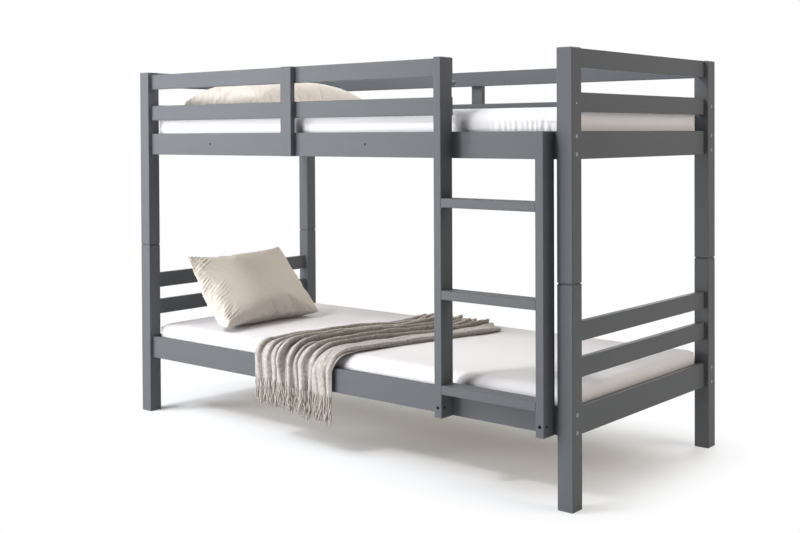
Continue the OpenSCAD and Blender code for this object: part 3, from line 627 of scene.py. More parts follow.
@dataclass
class TimberFrame:
    """The rigid bed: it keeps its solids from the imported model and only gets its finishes."""

    paint: SatinPaint = SatinPaint()
    pine: PlanedWood = PlanedWood()
    beech: PlanedWood = PlanedWood("planed_beech", "#d8b58a", "#c39a6b", "#a57c50", 2.0)
    zinc: ZincPlate = ZincPlate()

    def grain_of(self, node: str) -> Grain:
        """Which way the timber of a node runs, from what the member is.

        Args:
            node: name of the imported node.

        Returns:
            The direction of its grain.
        """
        if any(word in node for word in ("post", "batten", "stile")):
            return Grain.UPRIGHT
        if "end_" in node:
            return Grain.ALONG_Y
        return Grain.ALONG_X

    def dress(self) -> None:
        """Gives every rigid node its finish."""
        painted = {grain: self.paint.make(grain) for grain in Grain}
        others = {
            "bare_pine": self.pine.make(Grain.ALONG_Y),
            "beech": self.beech.make(Grain.ALONG_X),
            "zinc_steel": self.zinc.make(),
            "grey_plastic": MouldedCap().make(),
            "webbing": WebTape().make(),
        }
        slots = {part["node"]: part["material_slot"] for part in frame["record"]["subparts"]}
        for name, node in frame["nodes"].items():
            if name == "guard_screws":
                # Their heads sit on the rails' inner sides and were sprayed over with them.
                paint_piece(node, painted[Grain.ALONG_X])
            elif slots[name] in others:
                paint_piece(node, others[slots[name]])
            elif slots[name] == "grey_paint":
                paint_piece(node, painted[self.grain_of(name)])


# ---- mattresses ------------------------------------------------------------------------------


@dataclass
class Mattress:
    """A foam mattress in a fitted jersey sheet.

    Attributes:
        node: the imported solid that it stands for, which is also its body.
        gathers: from where to where along X the front side's sheet is drawn up, if it is.
        size: its length, width and thickness.
        corner: rounding of its corners in plan.
        top_round, foot_round: rounding of its long edges.
        end_round: rounding of the top edge at its two ends.
        crown: how far its middle stands over its edges.
        cell: size of its mesh cells in plan.
        layers: how many cells it is thick.
        corner_pleat, gather, ripple: depth of the sheet's relief at the corners, where it is
            drawn up, and low on its sides.
        gather_pitch, ripple_pitch: distance from one gather or ripple to the next.
        wrinkles: size and depth of the top's wrinkles, broad and fine.
    """

    node: str
    gathers: Optional[tuple[float, float]] = None
    size: Triple = (1.996, 0.888, 0.099)
    corner: float = 0.044
    top_round: float = 0.046
    foot_round: float = 0.016
    end_round: float = 0.024
    crown: float = 0.006
    cell: float = 0.0135
    layers: int = 15
    corner_pleat: float = 0.0028
    gather: float = 0.0050
    gather_pitch: float = 0.0205
    ripple: float = 0.0009
    ripple_pitch: float = 0.07
    wrinkles: tuple[tuple[float, float], ...] = ((0.16, 0.0012), (0.05, 0.0006))

    @property
    def half(self) -> np.ndarray:
        """Half its size along each axis."""
        return np.array(self.size) / 2

    def block(self) -> bmesh.types.BMesh:
        """A box of small cells, centred on the origin, with its edges still square.

        Returns:
            The box.
        """
        shape = bmesh.new()
        bmesh.ops.create_cube(shape, size=1.0)
        bmesh.ops.scale(shape, vec=self.size, verts=shape.verts)
        end = self.size[0] / 2
        # The cells along the bed are smaller at both ends and where the gathers are.
        shares = (0.0, 0.06, 0.56, 0.90, 1.0)
        stations = (-end, 0.05 - end, 0.69, 0.95, end)
        for axis, size in enumerate(self.size):
            normal = Vector((0, 0, 0))
            normal[axis] = 1.0
            count = round(size / self.cell) if axis < 2 else self.layers
            for step in range(1, count):
                place = size * (step / count - 0.5)
                if axis == 0:
                    place = float(np.interp(step / count, shares, stations))
                geom = shape.verts[:] + shape.edges[:] + shape.faces[:]
                bmesh.ops.bisect_plane(shape, geom=geom, plane_co=normal * place, plane_no=normal)
        return shape

    @staticmethod
    def round_off(across: np.ndarray, up: np.ndarray) -> tuple[np.ndarray, np.ndarray, np.ndarray]:
        """Turns the square outer corner of a section into a quarter circle.

        Args:
            across: distance past the start of the rounding, one way.
            up: the same, the other way.

        Returns:
            Which points are in the corner, and both distances after rounding.
        """
        inside = (across > 0) & (up > 0)
        size = np.maximum(np.hypot(across, up), 1e-9)
        ratio = np.where(inside, np.maximum(across, up) / size, 1.0)
        return inside, across * ratio, up * ratio

    def shape_points(self, p: np.ndarray) -> np.ndarray:
        """Rounds the block's edges.

        Args:
            p: points of the block, centred, which are changed.

        Returns:
            The rounded points, still centred.
        """
        half = self.half
        to_end, to_side = half[0] - np.abs(p[:, 0]), half[1] - np.abs(p[:, 1])
        side_x, inset = to_end < to_side, np.minimum(to_end, to_side)
        at_side = smooth_step(-0.05, 0.05, to_end - to_side)
        top_round = self.end_round + (self.top_round - self.end_round) * at_side
        for radius, sign in ((top_round, 1), (self.foot_round, -1)):
            up = sign * p[:, 2] - (half[2] - radius)
            across = radius - inset
            near, new_across, new_up = self.round_off(across, up)
            p[:, 2] = np.where(near, sign * (half[2] - radius + new_up), p[:, 2])
            move = np.where(near, new_across - across, 0.0)
            p[:, 0] += np.where(side_x, move * np.sign(p[:, 0]), 0.0)
            p[:, 1] += np.where(~side_x, move * np.sign(p[:, 1]), 0.0)
        start = half[:2] - self.corner
        both, *rounded = self.round_off(*(np.abs(p[:, :2]) - start).T)
        for axis, past in enumerate(rounded):
            p[:, axis] = np.where(both, np.sign(p[:, axis]) * (start[axis] + past), p[:, axis])
        return p

    def wrinkle(self, p: np.ndarray, normals: np.ndarray) -> np.ndarray:
        """Pulls the sheet's gathers and soft creases into the rounded block.

        Args:
            p: the rounded points, centred.
            normals: the surface's outward direction at each.

        Returns:
            The points with the sheet's relief, which only goes inwards.
        """
        half = self.half
        x, y, z = p.T
        low = smooth_step(0.25 * half[2], -half[2], z)
        side = 1 - np.abs(normals[:, 2])
        to_corner = np.hypot(*np.minimum(half[:2] - np.abs(p[:, :2]), 0.5).T)
        # The corner pleats fan out from a hub 100 mm in from both sides.
        from_hub = p[:, :2] - np.sign(p[:, :2]) * (half[:2] - 0.1)
        round_it = np.arctan2(from_hub[:, 1], from_hub[:, 0])
        pleats = np.sin(round_it * 17 + 6 * wander(p, 0.08, 3)) * 0.5 + 0.5
        pleats *= np.exp(-((to_corner / 0.16) ** 2)) * side
        inward = self.corner_pleat * pleats * smooth_step(0.8 * half[2], -half[2], z)
        if self.gathers is not None:
            first, last = self.gathers
            spread = smooth_step(first, first + 0.07, x) * smooth_step(last + 0.02, last - 0.02, x)
            spread *= smooth_step(1.1 * half[2], -0.5 * half[2], z) * (y < 0)
            pleat = wave((x + 0.30 * z) / self.gather_pitch + 0.8 * wander(p, 0.06, 5)) ** 2
            inward += self.gather * spread * pleat * side * (0.75 + 0.6 * wander(p, 0.03, 6))
        ripple = np.sin((x + y) * math.tau / self.ripple_pitch + 7 * wander(p, 0.11, 8))
        inward += self.ripple * (ripple * 0.5 + 0.5) * side * low
        top = smooth_step(0.3, 0.9, normals[:, 2])
        stretched = p * np.array([0.35, 1.0, 1.0])
        for seed, (size, depth) in zip((2, 4), self.wrinkles):
            inward += depth * top * (0.5 + 0.5 * wander(stretched, size, seed))
        return p - normals * inward[:, None]

    def build(self) -> bpy.types.Object:
        """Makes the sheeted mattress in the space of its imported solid.

        Returns:
            The mattress, without its finish.
        """
        low, high = (Vector(c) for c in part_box(self.node))
        piece = to_object(self.block(), self.node + "_in_sheet")
        points = self.shape_points(read_points(piece.data))
        write_points(piece.data, points)
        points = self.wrinkle(points, read_points(piece.data, "normal"))
        half = self.half
        dome = (1 - (points[:, 1] / half[1]) ** 2) * (1 - (points[:, 0] / half[0]) ** 6)
        points[:, 2] -= self.crown * (1 - np.clip(dome, 0, 1)) * (points[:, 2] > 0)
        centre = (low + high) / 2
        points += np.array([centre.x, centre.y, low.z + 0.5 * MM + half[2]])
        write_points(piece.data, points)
        return piece

    def dress(self, piece: bpy.types.Object, finish: bpy.types.Material) -> None:
        """Finishes the mattress and ties it to the frame's solid.

        Args:
            piece: the mattress.
            finish: the sheet's material.
        """
        paint_piece(piece, finish)
        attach(piece, self.node)
        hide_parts(self.node)


# ---- pillows ---------------------------------------------------------------------------------


@dataclass
class Pillow:
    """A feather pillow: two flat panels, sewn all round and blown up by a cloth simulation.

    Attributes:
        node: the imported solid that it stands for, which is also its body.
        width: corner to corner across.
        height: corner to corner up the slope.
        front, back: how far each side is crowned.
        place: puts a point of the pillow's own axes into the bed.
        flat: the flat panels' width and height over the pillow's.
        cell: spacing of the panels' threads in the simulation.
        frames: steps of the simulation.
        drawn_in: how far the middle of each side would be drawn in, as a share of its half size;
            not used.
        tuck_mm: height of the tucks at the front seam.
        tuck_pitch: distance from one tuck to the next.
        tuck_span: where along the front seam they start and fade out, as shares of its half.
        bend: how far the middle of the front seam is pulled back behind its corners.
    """

    node: str
    width: float
    height: float
    front: float
    back: float
    place: Callable[[np.ndarray], np.ndarray]
    flat: tuple[float, float] = (1.10, 1.12)
    cell: float = 0.0065
    frames: int = 26
    drawn_in: float = 0.055
    tuck_mm: float = 6.0
    tuck_pitch: float = 0.0150
    tuck_span: tuple[float, float] = (-2.0, -1.5)
    bend: float = 0.0

    def panels(self) -> bpy.types.Object:
        """The two panels lying flat on each other, closed round the edge.

        Returns:
            The cover before it is filled.
        """
        shape = bmesh.new()
        wide, high = self.width * self.flat[0], self.height * self.flat[1]
        across, up = round(wide / self.cell), round(high / self.cell)
        bmesh.ops.create_grid(shape, x_segments=across, y_segments=up, size=0.5)
        bmesh.ops.scale(shape, vec=(wide, high, 1), verts=shape.verts)
        for vert in shape.verts:
            vert.co.z += 0.0015 * noise.noise(vert.co / 0.03)
        bmesh.ops.solidify(shape, geom=shape.faces[:], thickness=5 * MM)
        bmesh.ops.recalc_face_normals(shape, faces=shape.faces)
        fix_order(shape)
        return to_object(shape, self.node + "_cover")

    def inflate(self, piece: bpy.types.Object) -> None:
        """Blows the panels up as cloth and bakes the result.

        Args:
            piece: the flat cover, whose mesh is changed.
        """
        run_cloth(
            piece,
            steps=self.frames,
            weight=0.0,
            quality=5,
            mass=0.25,
            tension_stiffness=25,
            compression_stiffness=25,
            shear_stiffness=6,
            bending_stiffness=0.05,
            air_damping=4,
            use_pressure=True,
            uniform_pressure_force=4.0,
        )

    def fit(self, p: np.ndarray) -> np.ndarray:
        """Fits the blown-up cover to the pillow's measured size and crown.

        Args:
            p: points of the cover round its own centre.

        Returns:
            The points with the pillow's corners and crowns.
        """
        p = p - (p.max(axis=0) + p.min(axis=0)) / 2
        reach = np.abs(p[:, :2]).max(axis=0)
        p[:, 0] *= self.width / 2 / reach[0]
        p[:, 1] *= self.height / 2 / reach[1]
        up, down = p[:, 2].max(), -p[:, 2].min()
        p[:, 2] = np.where(p[:, 2] > 0, p[:, 2] * self.front / up, p[:, 2] * self.back / down)
        return p

    def tucks(self, p: np.ndarray) -> np.ndarray:
        """Draws the cover up into short slanting tucks along its four seams.

        Args:
            p: points of the fitted cover round its own centre.

        Returns:
            How far each point is lifted off the filling, in metres.
        """
        half = np.array([self.width, self.height]) / 2
        lift = np.zeros(len(p))
        # Each seam by its axis, its side and how strong its tucks are; the first is the front one.
        for axis, side, share in ((0, -1, 1.0), (0, 1, 0.30), (1, -1, 0.35), (1, 1, 0.35)):
            inside = half[axis] - side * p[:, axis]
            along = p[:, 1 - axis]
            reach = 0.056 * (1 + 0.7 * wander(p, 0.05, 61 + axis))
            strength = share * smooth_step(0.0, 0.014, inside) * np.exp(-((inside / reach) ** 2))
            strength *= 0.60 + 0.9 * wander(p, 0.028, 63)
            if side < 0 and axis == 0:
                strength *= smooth_step(*self.tuck_span, along / half[1])
            turns = (along - 0.55 * inside) / self.tuck_pitch + 0.55 * wander(p, 0.05, 65)
            lift += strength * wave(turns) ** 1.6
        return np.clip(lift, 0, 1.2) * self.tuck_mm * MM

    def build(self) -> bpy.types.Object:
        """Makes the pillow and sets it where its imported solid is.

        Returns:
            The pillow, without its finish.
        """
        piece = self.panels()
        self.inflate(piece)
        finer = piece.modifiers.new("smooth", "SUBSURF")
        finer.levels = finer.render_levels = 1
        apply_modifiers(piece)
        points = self.fit(read_points(piece.data))
        side = np.sign(points[:, 2])
        front, up = -2 * points[:, 0] / self.width, 2 * points[:, 1] / self.height
        # The front seam is pulled back behind its corners, and the underside thins towards it.
        wrap = smooth_step(0.15, 1.0, front)
        points[:, 2] *= np.where(side < 0, 1 - 0.6 * wrap * (self.bend > 0), 1.0)
        points[:, 2] += side * self.tucks(points)
        points[:, 2] -= self.bend * wrap * (1 - np.clip(up, -1, 1) ** 2)
        write_points(piece.data, self.place(points))
        return piece

    def dress(self, piece: bpy.types.Object, finish: bpy.types.Material) -> None:
        """Finishes the pillow and ties it to the frame's solid.

        Args:
            piece: the pillow.
            finish: the cotton's material.
        """
        paint_piece(piece, finish)
        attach(piece, self.node)
        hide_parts(self.node)


LOWER_PILLOW_HEIGHT = 0.358


def lean_back(points: np.ndarray) -> np.ndarray:
    """Sets the lower pillow leaning towards the left end, slumped onto the mattress.

    Args:
        points: places on the pillow's own axes: across, up the slope and out of its face.

    Returns:
        The same places in the bed.
    """
    middle, bed_top = (-0.714, -0.156 + BED_Y, 0.512), 0.3615
    half_height, lean = LOWER_PILLOW_HEIGHT / 2, math.radians(47)
    across, up, out = points.T
    out = out * np.where(out < 0, 1 - 0.55 * up / half_height, 1.0)
    x = middle[0] - math.cos(lean) * up + math.sin(lean) * out
    z = middle[2] + math.sin(lean) * up + math.cos(lean) * out
    return np.column_stack([x, middle[1] + across, np.maximum(z, bed_top)])


def lie_flat(points: np.ndarray) -> np.ndarray:
    """Lays the upper pillow on the upper mattress, its underside pressed flat.

    Args:
        points: places on the pillow's own axes: across, along and up.

    Returns:
        The same places in the bed.
    """
    middle, bed_top = (-0.700, -0.025 + BED_Y, 1.2695), 1.2305
    across, up, out = points.T
    z = np.maximum(middle[2] + out, bed_top)
    return np.column_stack([middle[0] - up, middle[1] + across, z])


# ---- the throw -------------------------------------------------------------------------------


@dataclass(frozen=True)
class Fold:
    """One lengthwise fold of the throw.

    Attributes:
        middle: its place across the throw at the far end, over the edge and at the hem, from 0
            at the throw's left edge to 1 at its right.
        half: half its width, as a share of the throw's, lying and hanging.
        rise: its height in millimetres, lying and hanging.
        flat: share of its half width that is flat on top.
    """

    middle: Triple
    half: tuple[float, float]
    rise: tuple[float, float]
    flat: float = 0.0


@dataclass
class Throw:
    """A loosely woven throw, gathered into lengthwise folds over the lower mattress.

    Attributes:
        edges: outline on the mattress, as rows of y, left x and right x.
        roll_y: where the cloth starts to bend over the mattress's front edge.
        roll_radius: how wide it bends.
        hang: left and right x under the edge.
        hem: height of the hem at its left and right end.
        bed_top: height of the sheet under the cloth.
        folds: its lengthwise folds, from the left.
        flat_size: width and length of the cloth laid out flat.
        thick: how thick it is.
        columns, rows: its mesh cells across and along.
        strands: number of strands in the fringe.
        crease_count: number of small creases.
        steps: steps of the settling simulation.
        spare: width that the cloth was cut to, over what its folds use up.
        strand_length: length of the fringe at its left and right end.
    """

    edges: tuple[Triple, ...] = (
        (0.345, -0.196, 0.205),
        (0.300, -0.212, 0.236),
        (0.200, -0.224, 0.226),
        (0.070, -0.250, 0.192),
        (-0.080, -0.312, 0.158),
        (-0.200, -0.346, 0.126),
        (-0.300, -0.364, 0.102),
        (-0.430, -0.352, 0.080),
    )
    roll_y: float = -0.432
    roll_radius: float = 0.055
    hang: tuple[float, float] = (-0.350, 0.046)
    hem: tuple[float, float] = (0.233, 0.207)
    bed_top: float = 0.3605
    folds: tuple[Fold, ...] = (
        Fold((0.05, 0.06, 0.070), (0.046, 0.050), (12, 14)),
        Fold((0.14, 0.17, 0.190), (0.046, 0.048), (22, 24)),
        Fold((0.22, 0.25, 0.270), (0.030, 0.034), (17, 11)),
        Fold((0.31, 0.34, 0.365), (0.052, 0.062), (28, 27), 0.12),
        Fold((0.43, 0.46, 0.485), (0.050, 0.044), (31, 24)),
        Fold((0.52, 0.545, 0.560), (0.034, 0.036), (20, 10)),
        Fold((0.62, 0.635, 0.655), (0.052, 0.060), (32, 26)),
        Fold((0.74, 0.745, 0.750), (0.046, 0.036), (27, 11)),
        Fold((0.94, 0.925, 0.885), (0.110, 0.120), (17, 8), 0.66),
    )
    flat_size: tuple[float, float] = (0.62, 1.02)
    thick: float = 0.0032
    columns: int = 190
    rows: int = 170
    strands: int = 60
    crease_count: int = 170
    steps: int = 22
    spare: float = 1.05
    strand_length: tuple[float, float] = (0.093, 0.108)

    def lengths(self) -> Triple:
        """How much of the throw lies, bends and hangs.

        Returns:
            The three lengths in metres, from the far end.
        """
        lying = self.edges[0][0] - self.roll_y
        drop = self.bed_top - self.roll_radius - sum(self.hem) / 2
        return lying, self.roll_radius * math.pi / 2, drop

    def relief(self, s: np.ndarray, t: np.ndarray, share: np.ndarray) -> np.ndarray:
        """Height of the folds over the throw's lowest line.

        Args:
            s: share of the throw's length, from the far end.
            t: share of its width, from the left.
            share: how far it has turned over the edge, from 0 to 1.

        Returns:
            The height in metres.
        """
        lying, bend, drop = self.lengths()
        edge_at = lying / (lying + bend + drop)
        sway = np.column_stack([s * 1.1, t * 0.0, t * 0.0])
        height = np.zeros_like(t)
        for number, fold in enumerate(self.folds):
            middle = np.interp(s, (0, edge_at, 1), fold.middle)
            middle += (0.016 + 0.012 * share) * wander(sway, 0.15, 11 + number)
            half = np.interp(share, (0, 1), fold.half)
            half *= 1 + (0.20 + 0.25 * share) * wander(sway, 0.19, 21 + number)
            rise = np.interp(share, (0, 1), fold.rise) * MM
            rise *= 1 + (0.36 + 0.34 * share) * wander(sway, 0.12, 31 + number)
            # The folds lie over towards the ladder: a long slope on the left, a wall on the right.
            reach = np.where(t < middle, 1.45 - 0.30 * share, 0.46 + 0.34 * share)
            away = np.clip((np.abs(t - middle) / half / reach - fold.flat) / (1 - fold.flat), 0, 1)
            # A soft swell at the far end turns more and more into a tent with a narrow crest.
            crest = 1.1 - np.sqrt(away**2 + 0.01)
            tent = 0.55 * smooth_step(0.02, 0.16, s)
            bump = rise * ((1 - tent) * np.cos(away * math.pi / 2) ** 2 + tent * crest * (away < 1))
            height = np.maximum(height, bump) + 0.3 * np.minimum(height, bump)
        return height

    def creases(self, s: np.ndarray, t: np.ndarray) -> np.ndarray:
        """Small slanting creases between and across the folds.

        Args:
            s: share of the throw's length.
            t: share of its width.

        Returns:
            Their height in metres, up or down.
        """
        rng = Random(5)
        height = np.zeros_like(t)
        for _ in range(self.crease_count):
            middle_s, middle_t = rng.uniform(0.0, 1.0), rng.uniform(0.03, 0.97)
            slant = rng.uniform(-0.45, 0.45)
            long, wide = rng.uniform(0.03, 0.14), rng.uniform(0.010, 0.020)
            deep = rng.choice((-1, 1)) * rng.uniform(1.5, 5.5) * MM
            along = (s - middle_s) / long
            across = (t - middle_t - slant * (s - middle_s)) / wide
            height += deep * np.exp(-(along**2) - across**2)
        return height

    def far_bunch(self, s: np.ndarray, t: np.ndarray) -> np.ndarray:
        """Height of the small round lumps into which the far end is bunched up.

        Args:
            s: share of the throw's length, from the far end.
            t: share of its width.

        Returns:
            The height in metres.
        """
        lumps = np.column_stack([s * 1.02, t * 0.42, s * 0.0])
        knots = 0.5 + 0.7 * wander(lumps, 0.034, 51) + 0.4 * wander(lumps, 0.070, 53)
        bunch = (1 - smooth_step(0.03, 0.17, s)) * (1 - smooth_step(0.78, 0.90, t))
        return 0.026 * bunch * np.clip(knots, 0, 1.3)

    def cloth_point(self, s: np.ndarray, t: np.ndarray) -> np.ndarray:
        """Where the throw's cloth is before it settles.

        Args:
            s: share of its length, from its far end to its hem.
            t: share of its width, from its left edge to its right.

        Returns:
            A table of points.
        """
        lying, bend, drop = self.lengths()
        d = s * (lying + bend + drop)
        turn = np.clip((d - lying) / bend, 0, 1) * math.pi / 2
        share = turn / (math.pi / 2)
        y = self.edges[0][0] - np.minimum(d, lying) - self.roll_radius * np.sin(turn)
        z = self.bed_top - self.roll_radius * (1 - np.cos(turn))
        z -= np.clip(d - lying - bend, 0, None)
        table = np.array(self.edges)[::-1]
        left, right = (
            np.interp(y, table[:, 0], table[:, side + 1]) * (1 - share) + self.hang[side] * share
            for side in (0, 1)
        )
        far_end = 1 - smooth_step(0.0, 0.14, s)
        rise = self.relief(s, t, share) * (1 - 0.58 * far_end) + self.far_bunch(s, t)
        # Over its first three hundredths the cloth comes up from where it is tucked under.
        closing = 1 - np.clip(s / 0.030, 0, 1)
        rise = rise * (0.06 + 0.94 * np.sqrt(1 - closing**2))
        rise += self.creases(s, t) * (0.50 + 0.50 * share)
        rise = np.maximum(rise, 0) + 0.5 * MM
        # The far edge and the hem are uneven, and the hem runs down towards the ladder.
        across = np.column_stack([t, s * 0, s * 0])
        y = y + 0.030 * far_end * wander(across * 0.5, 0.09, 71)
        z = z + (self.hem[0] - self.hem[1]) * (0.5 - t) * smooth_step(0.8, 1.0, s)
        z = z + 0.009 * wander(across * 0.62, 0.04, 81) * smooth_step(0.75, 1.0, s)
        lean = rise * (0.95 - 0.65 * share)
        x = left + (right - left) * t + lean
        return np.column_stack([x, y + BED_Y - rise * np.sin(turn), z + rise * np.cos(turn)])

    def build_cloth(self) -> bpy.types.Object:
        """Makes the throw's cloth as one sheet with a UV map in metres.

        Returns:
            The settled cloth, without its finish.
        """
        shape = bmesh.new()
        bmesh.ops.create_grid(
            shape, x_segments=self.columns, y_segments=self.rows, size=0.5, calc_uvs=True
        )
        uv = shape.loops.layers.uv.verify()
        wide, long = self.flat_size
        for face in shape.faces:
            for loop in face.loops:
                place = loop.vert.co
                loop[uv].uv = ((place.x + 0.5) * wide, (place.y + 0.5) * long)
        table = np.array([(v.co.x + 0.5, 0.5 - v.co.y) for v in shape.verts])
        for vert, point in zip(shape.verts, self.cloth_point(table[:, 1], table[:, 0])):
            vert.co = point
        bmesh.ops.recalc_face_normals(shape, faces=shape.faces)
        if sum(face.normal.z * face.calc_area() for face in shape.faces) < 0:
            bmesh.ops.reverse_faces(shape, faces=shape.faces)
        piece = to_object(shape, "throw_woven_cloth")
        self.settle(piece)
        wall = piece.modifiers.new("thickness", "SOLIDIFY")
        wall.thickness = self.thick
        wall.offset = 1.0
        wall.use_quality_normals = True
        return piece

    def supports(self) -> bpy.types.Object:
        """A plain stand-in for the mattress and rail, for the cloth to settle on.

        Returns:
            The stand-in, which is removed after use.
        """
        shape = bmesh.new()
        # The mattress and the rail: lowest corner, highest corner and rounding of the top.
        for low, high, corner in (
            ((-0.9, -0.445, 0.26), (0.9, 0.445, self.bed_top - 2 * MM), 0.050),
            ((-0.9, -0.4735, 0.22), (0.9, -0.45, 0.3085), 0.003),
        ):
            made = bmesh.ops.create_cube(shape, size=1.0)["verts"]
            middle = (Vector(high) + Vector(low)) / 2 + Vector((0, BED_Y, 0))
            bmesh.ops.scale(shape, vec=Vector(high) - Vector(low), verts=made)
            bmesh.ops.translate(shape, vec=middle, verts=made)
            edges = dict.fromkeys(edge for vert in made for edge in vert.link_edges)
            upper = [edge for edge in edges if all(v.co.z > middle.z for v in edge.verts)]
            rounding = {"segments": 8, "profile": 0.5, "affect": "EDGES", "material": -1}
            bmesh.ops.bevel(shape, geom=upper, offset=corner, **rounding)
        support = to_object(shape, "settling_support")
        support.modifiers.new("bump", "COLLISION")
        support.collision.thickness_outer = 0.002
        support.collision.thickness_inner = 0.02
        support.collision.cloth_friction = 20
        return support

    def settle(self, piece: bpy.types.Object) -> None:
        """Lets the folded cloth sag and crease under its own weight, then bakes it.

        Args:
            piece: the folded cloth, whose mesh is changed.
        """
        support = self.supports()
        # Every point is held a little to where it was folded.
        holds = piece.vertex_groups.new(name="held")
        holds.add(list(range(len(piece.data.vertices))), 0.35, "REPLACE")
        # The cloth was cut a little wider than its folds use up, so it creases along them.
        piece.shape_key_add(name="folded")
        cut = piece.shape_key_add(name="cut")
        middle = -0.15
        for point in cut.data:
            point.co.x = middle + (point.co.x - middle) * self.spare
        run_cloth(
            piece,
            steps=self.steps,
            weight=1.0,
            quality=6,
            mass=0.3,
            tension_stiffness=12,
            compression_stiffness=12,
            shear_stiffness=4,
            bending_stiffness=0.2,
            air_damping=2,
            rest_shape_key=cut,
            vertex_group_mass="held",
            pin_stiffness=0.6,
        )
        piece.vertex_groups.clear()
        bpy.data.objects.remove(support)

    def build_fringe(self, cloth: bpy.types.Object) -> bpy.types.Object:
        """Makes the fringe: twisted pairs of yarn that hang from the hem and sway a little.

        Args:
            cloth: the settled cloth, whose last row is the hem.

        Returns:
            The fringe as one piece.
        """
        rng = Random(11)
        hem = self.hem_line(read_points(cloth.data))
        shape = bmesh.new()
        across = np.linspace(0, 1, len(hem))
        for number in range(self.strands):
            t = 0.010 + 0.98 * number / (self.strands - 1)
            root = Vector([float(np.interp(t, across, hem[:, axis])) for axis in range(3)])
            length = float(np.interp(t, (0, 1), self.strand_length))
            self.add_strand(shape, root, length, Random(number // 2), number % 2, rng)
        edges = [edge for edge in shape.edges if edge.is_boundary]
        bmesh.ops.holes_fill(shape, edges=edges, sides=8)
        bmesh.ops.recalc_face_normals(shape, faces=shape.faces)
        return to_object(shape, "throw_twisted_fringe")

    def hem_line(self, points: np.ndarray) -> np.ndarray:
        """The cloth's lowest row of points, from left to right."""
        rows = points.reshape(-1, self.columns + 1, 3)
        return min(rows[0], rows[-1], key=lambda row: row[:, 2].mean())

    def add_strand(
        self,
        shape: bmesh.types.BMesh,
        root: Vector,
        length: float,
        pair: Random,
        side: int,
        rng: Random,
    ) -> None:
        """Hangs one strand under the hem.

        Args:
            shape: the fringe, which it joins.
            root: the point of the hem that it hangs from.
            length: how long the fringe is there.
            pair: unevenness that it shares with its neighbour, with which it is twisted.
            side: which of the two it is.
            rng: its own unevenness.
        """
        # Both strands of a pair are drawn together under the hem and wind round each other.
        sides, steps = 6, 14
        radius = rng.uniform(0.0030, 0.0037)
        length *= pair.uniform(0.93, 1.05) * rng.uniform(0.96, 1.02)
        swing = Vector((pair.uniform(-0.012, 0.010), pair.uniform(-0.006, 0.003), 0))
        turns, start = pair.uniform(1.0, 1.8), pair.uniform(0, math.pi)
        wide = pair.uniform(0.0036, 0.0050)
        inward = -1 if side else 1
        ring = bmesh.ops.create_circle(shape, cap_ends=True, radius=radius, segments=sides)["verts"]
        bmesh.ops.translate(shape, vec=root + Vector((0, -0.0016, 0.006)), verts=ring)
        face = next(f for f in shape.faces if set(f.verts) == set(ring))
        last = Vector((0, 0, 0))
        for step in range(1, steps + 1):
            f = step / steps
            angle = start + side * math.pi + turns * math.tau * f
            open_up = wide * min(1.0, 3 * f)
            twist = Vector((open_up * math.sin(angle), open_up * 0.6 * math.cos(angle), 0))
            drawn = Vector((inward * 0.004 * min(1.0, 2 * f), 0, 0))
            here = swing * f * f + twist + drawn - Vector((0, 0, length * f))
            face = bmesh.ops.extrude_discrete_faces(shape, faces=[face])["faces"][0]
            bmesh.ops.translate(shape, vec=here - last, verts=face.verts)
            last = here
            if step >= steps - 1:
                # The last two rings narrow to a blunt tip.
                middle = Matrix.Translation(-face.calc_center_median())
                bmesh.ops.scale(shape, vec=(0.7, 0.7, 1.0), verts=face.verts, space=middle)

    def dress(
        self,
        cloth: bpy.types.Object,
        fringe: bpy.types.Object,
        weave: bpy.types.Material,
        yarn: bpy.types.Material,
    ) -> None:
        """Finishes the throw and ties both pieces to its body.

        Args:
            cloth: the throw's cloth.
            fringe: its fringe.
            weave: the cloth's material.
            yarn: the fringe's material.
        """
        paint_piece(cloth, weave)
        paint_piece(fringe, yarn)
        for piece, node in ((cloth, "throw_cloth"), (fringe, "throw_fringe")):
            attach(piece, "throw")
            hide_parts(node)


# ---- studio ----------------------------------------------------------------------------------


# The right-hand lamps are warmer: the bed's ladder end is olive and beige where the front is cool.
WARM = (1.0, 0.90, 0.77)
WHITE = (1.0, 1.0, 1.0, 1.0)


@dataclass(frozen=True)
class Lamp:
    """One soft lamp, a lit disk.

    Attributes:
        name: what the lamp is for.
        at: where it stands.
        aim: the point that it faces.
        size: its diameter.
        watts: its power.
        tint: its colour.
    """

    name: str
    at: Triple
    aim: Triple
    size: float
    watts: float
    tint: Triple = (1.0, 1.0, 1.0)

    def build(self) -> None:
        """Adds the lamp to the scene."""
        data = bpy.data.lights.new(self.name, "AREA")
        data.shape, data.size, data.energy = "DISK", self.size, self.watts
        data.color = self.tint
        lamp = bpy.data.objects.new(self.name, data)
        way = Vector(self.aim) - Vector(self.at)
        lamp.location = self.at
        lamp.rotation_euler = way.to_track_quat("-Z", "Y").to_euler()
        bpy.context.scene.collection.objects.link(lamp)


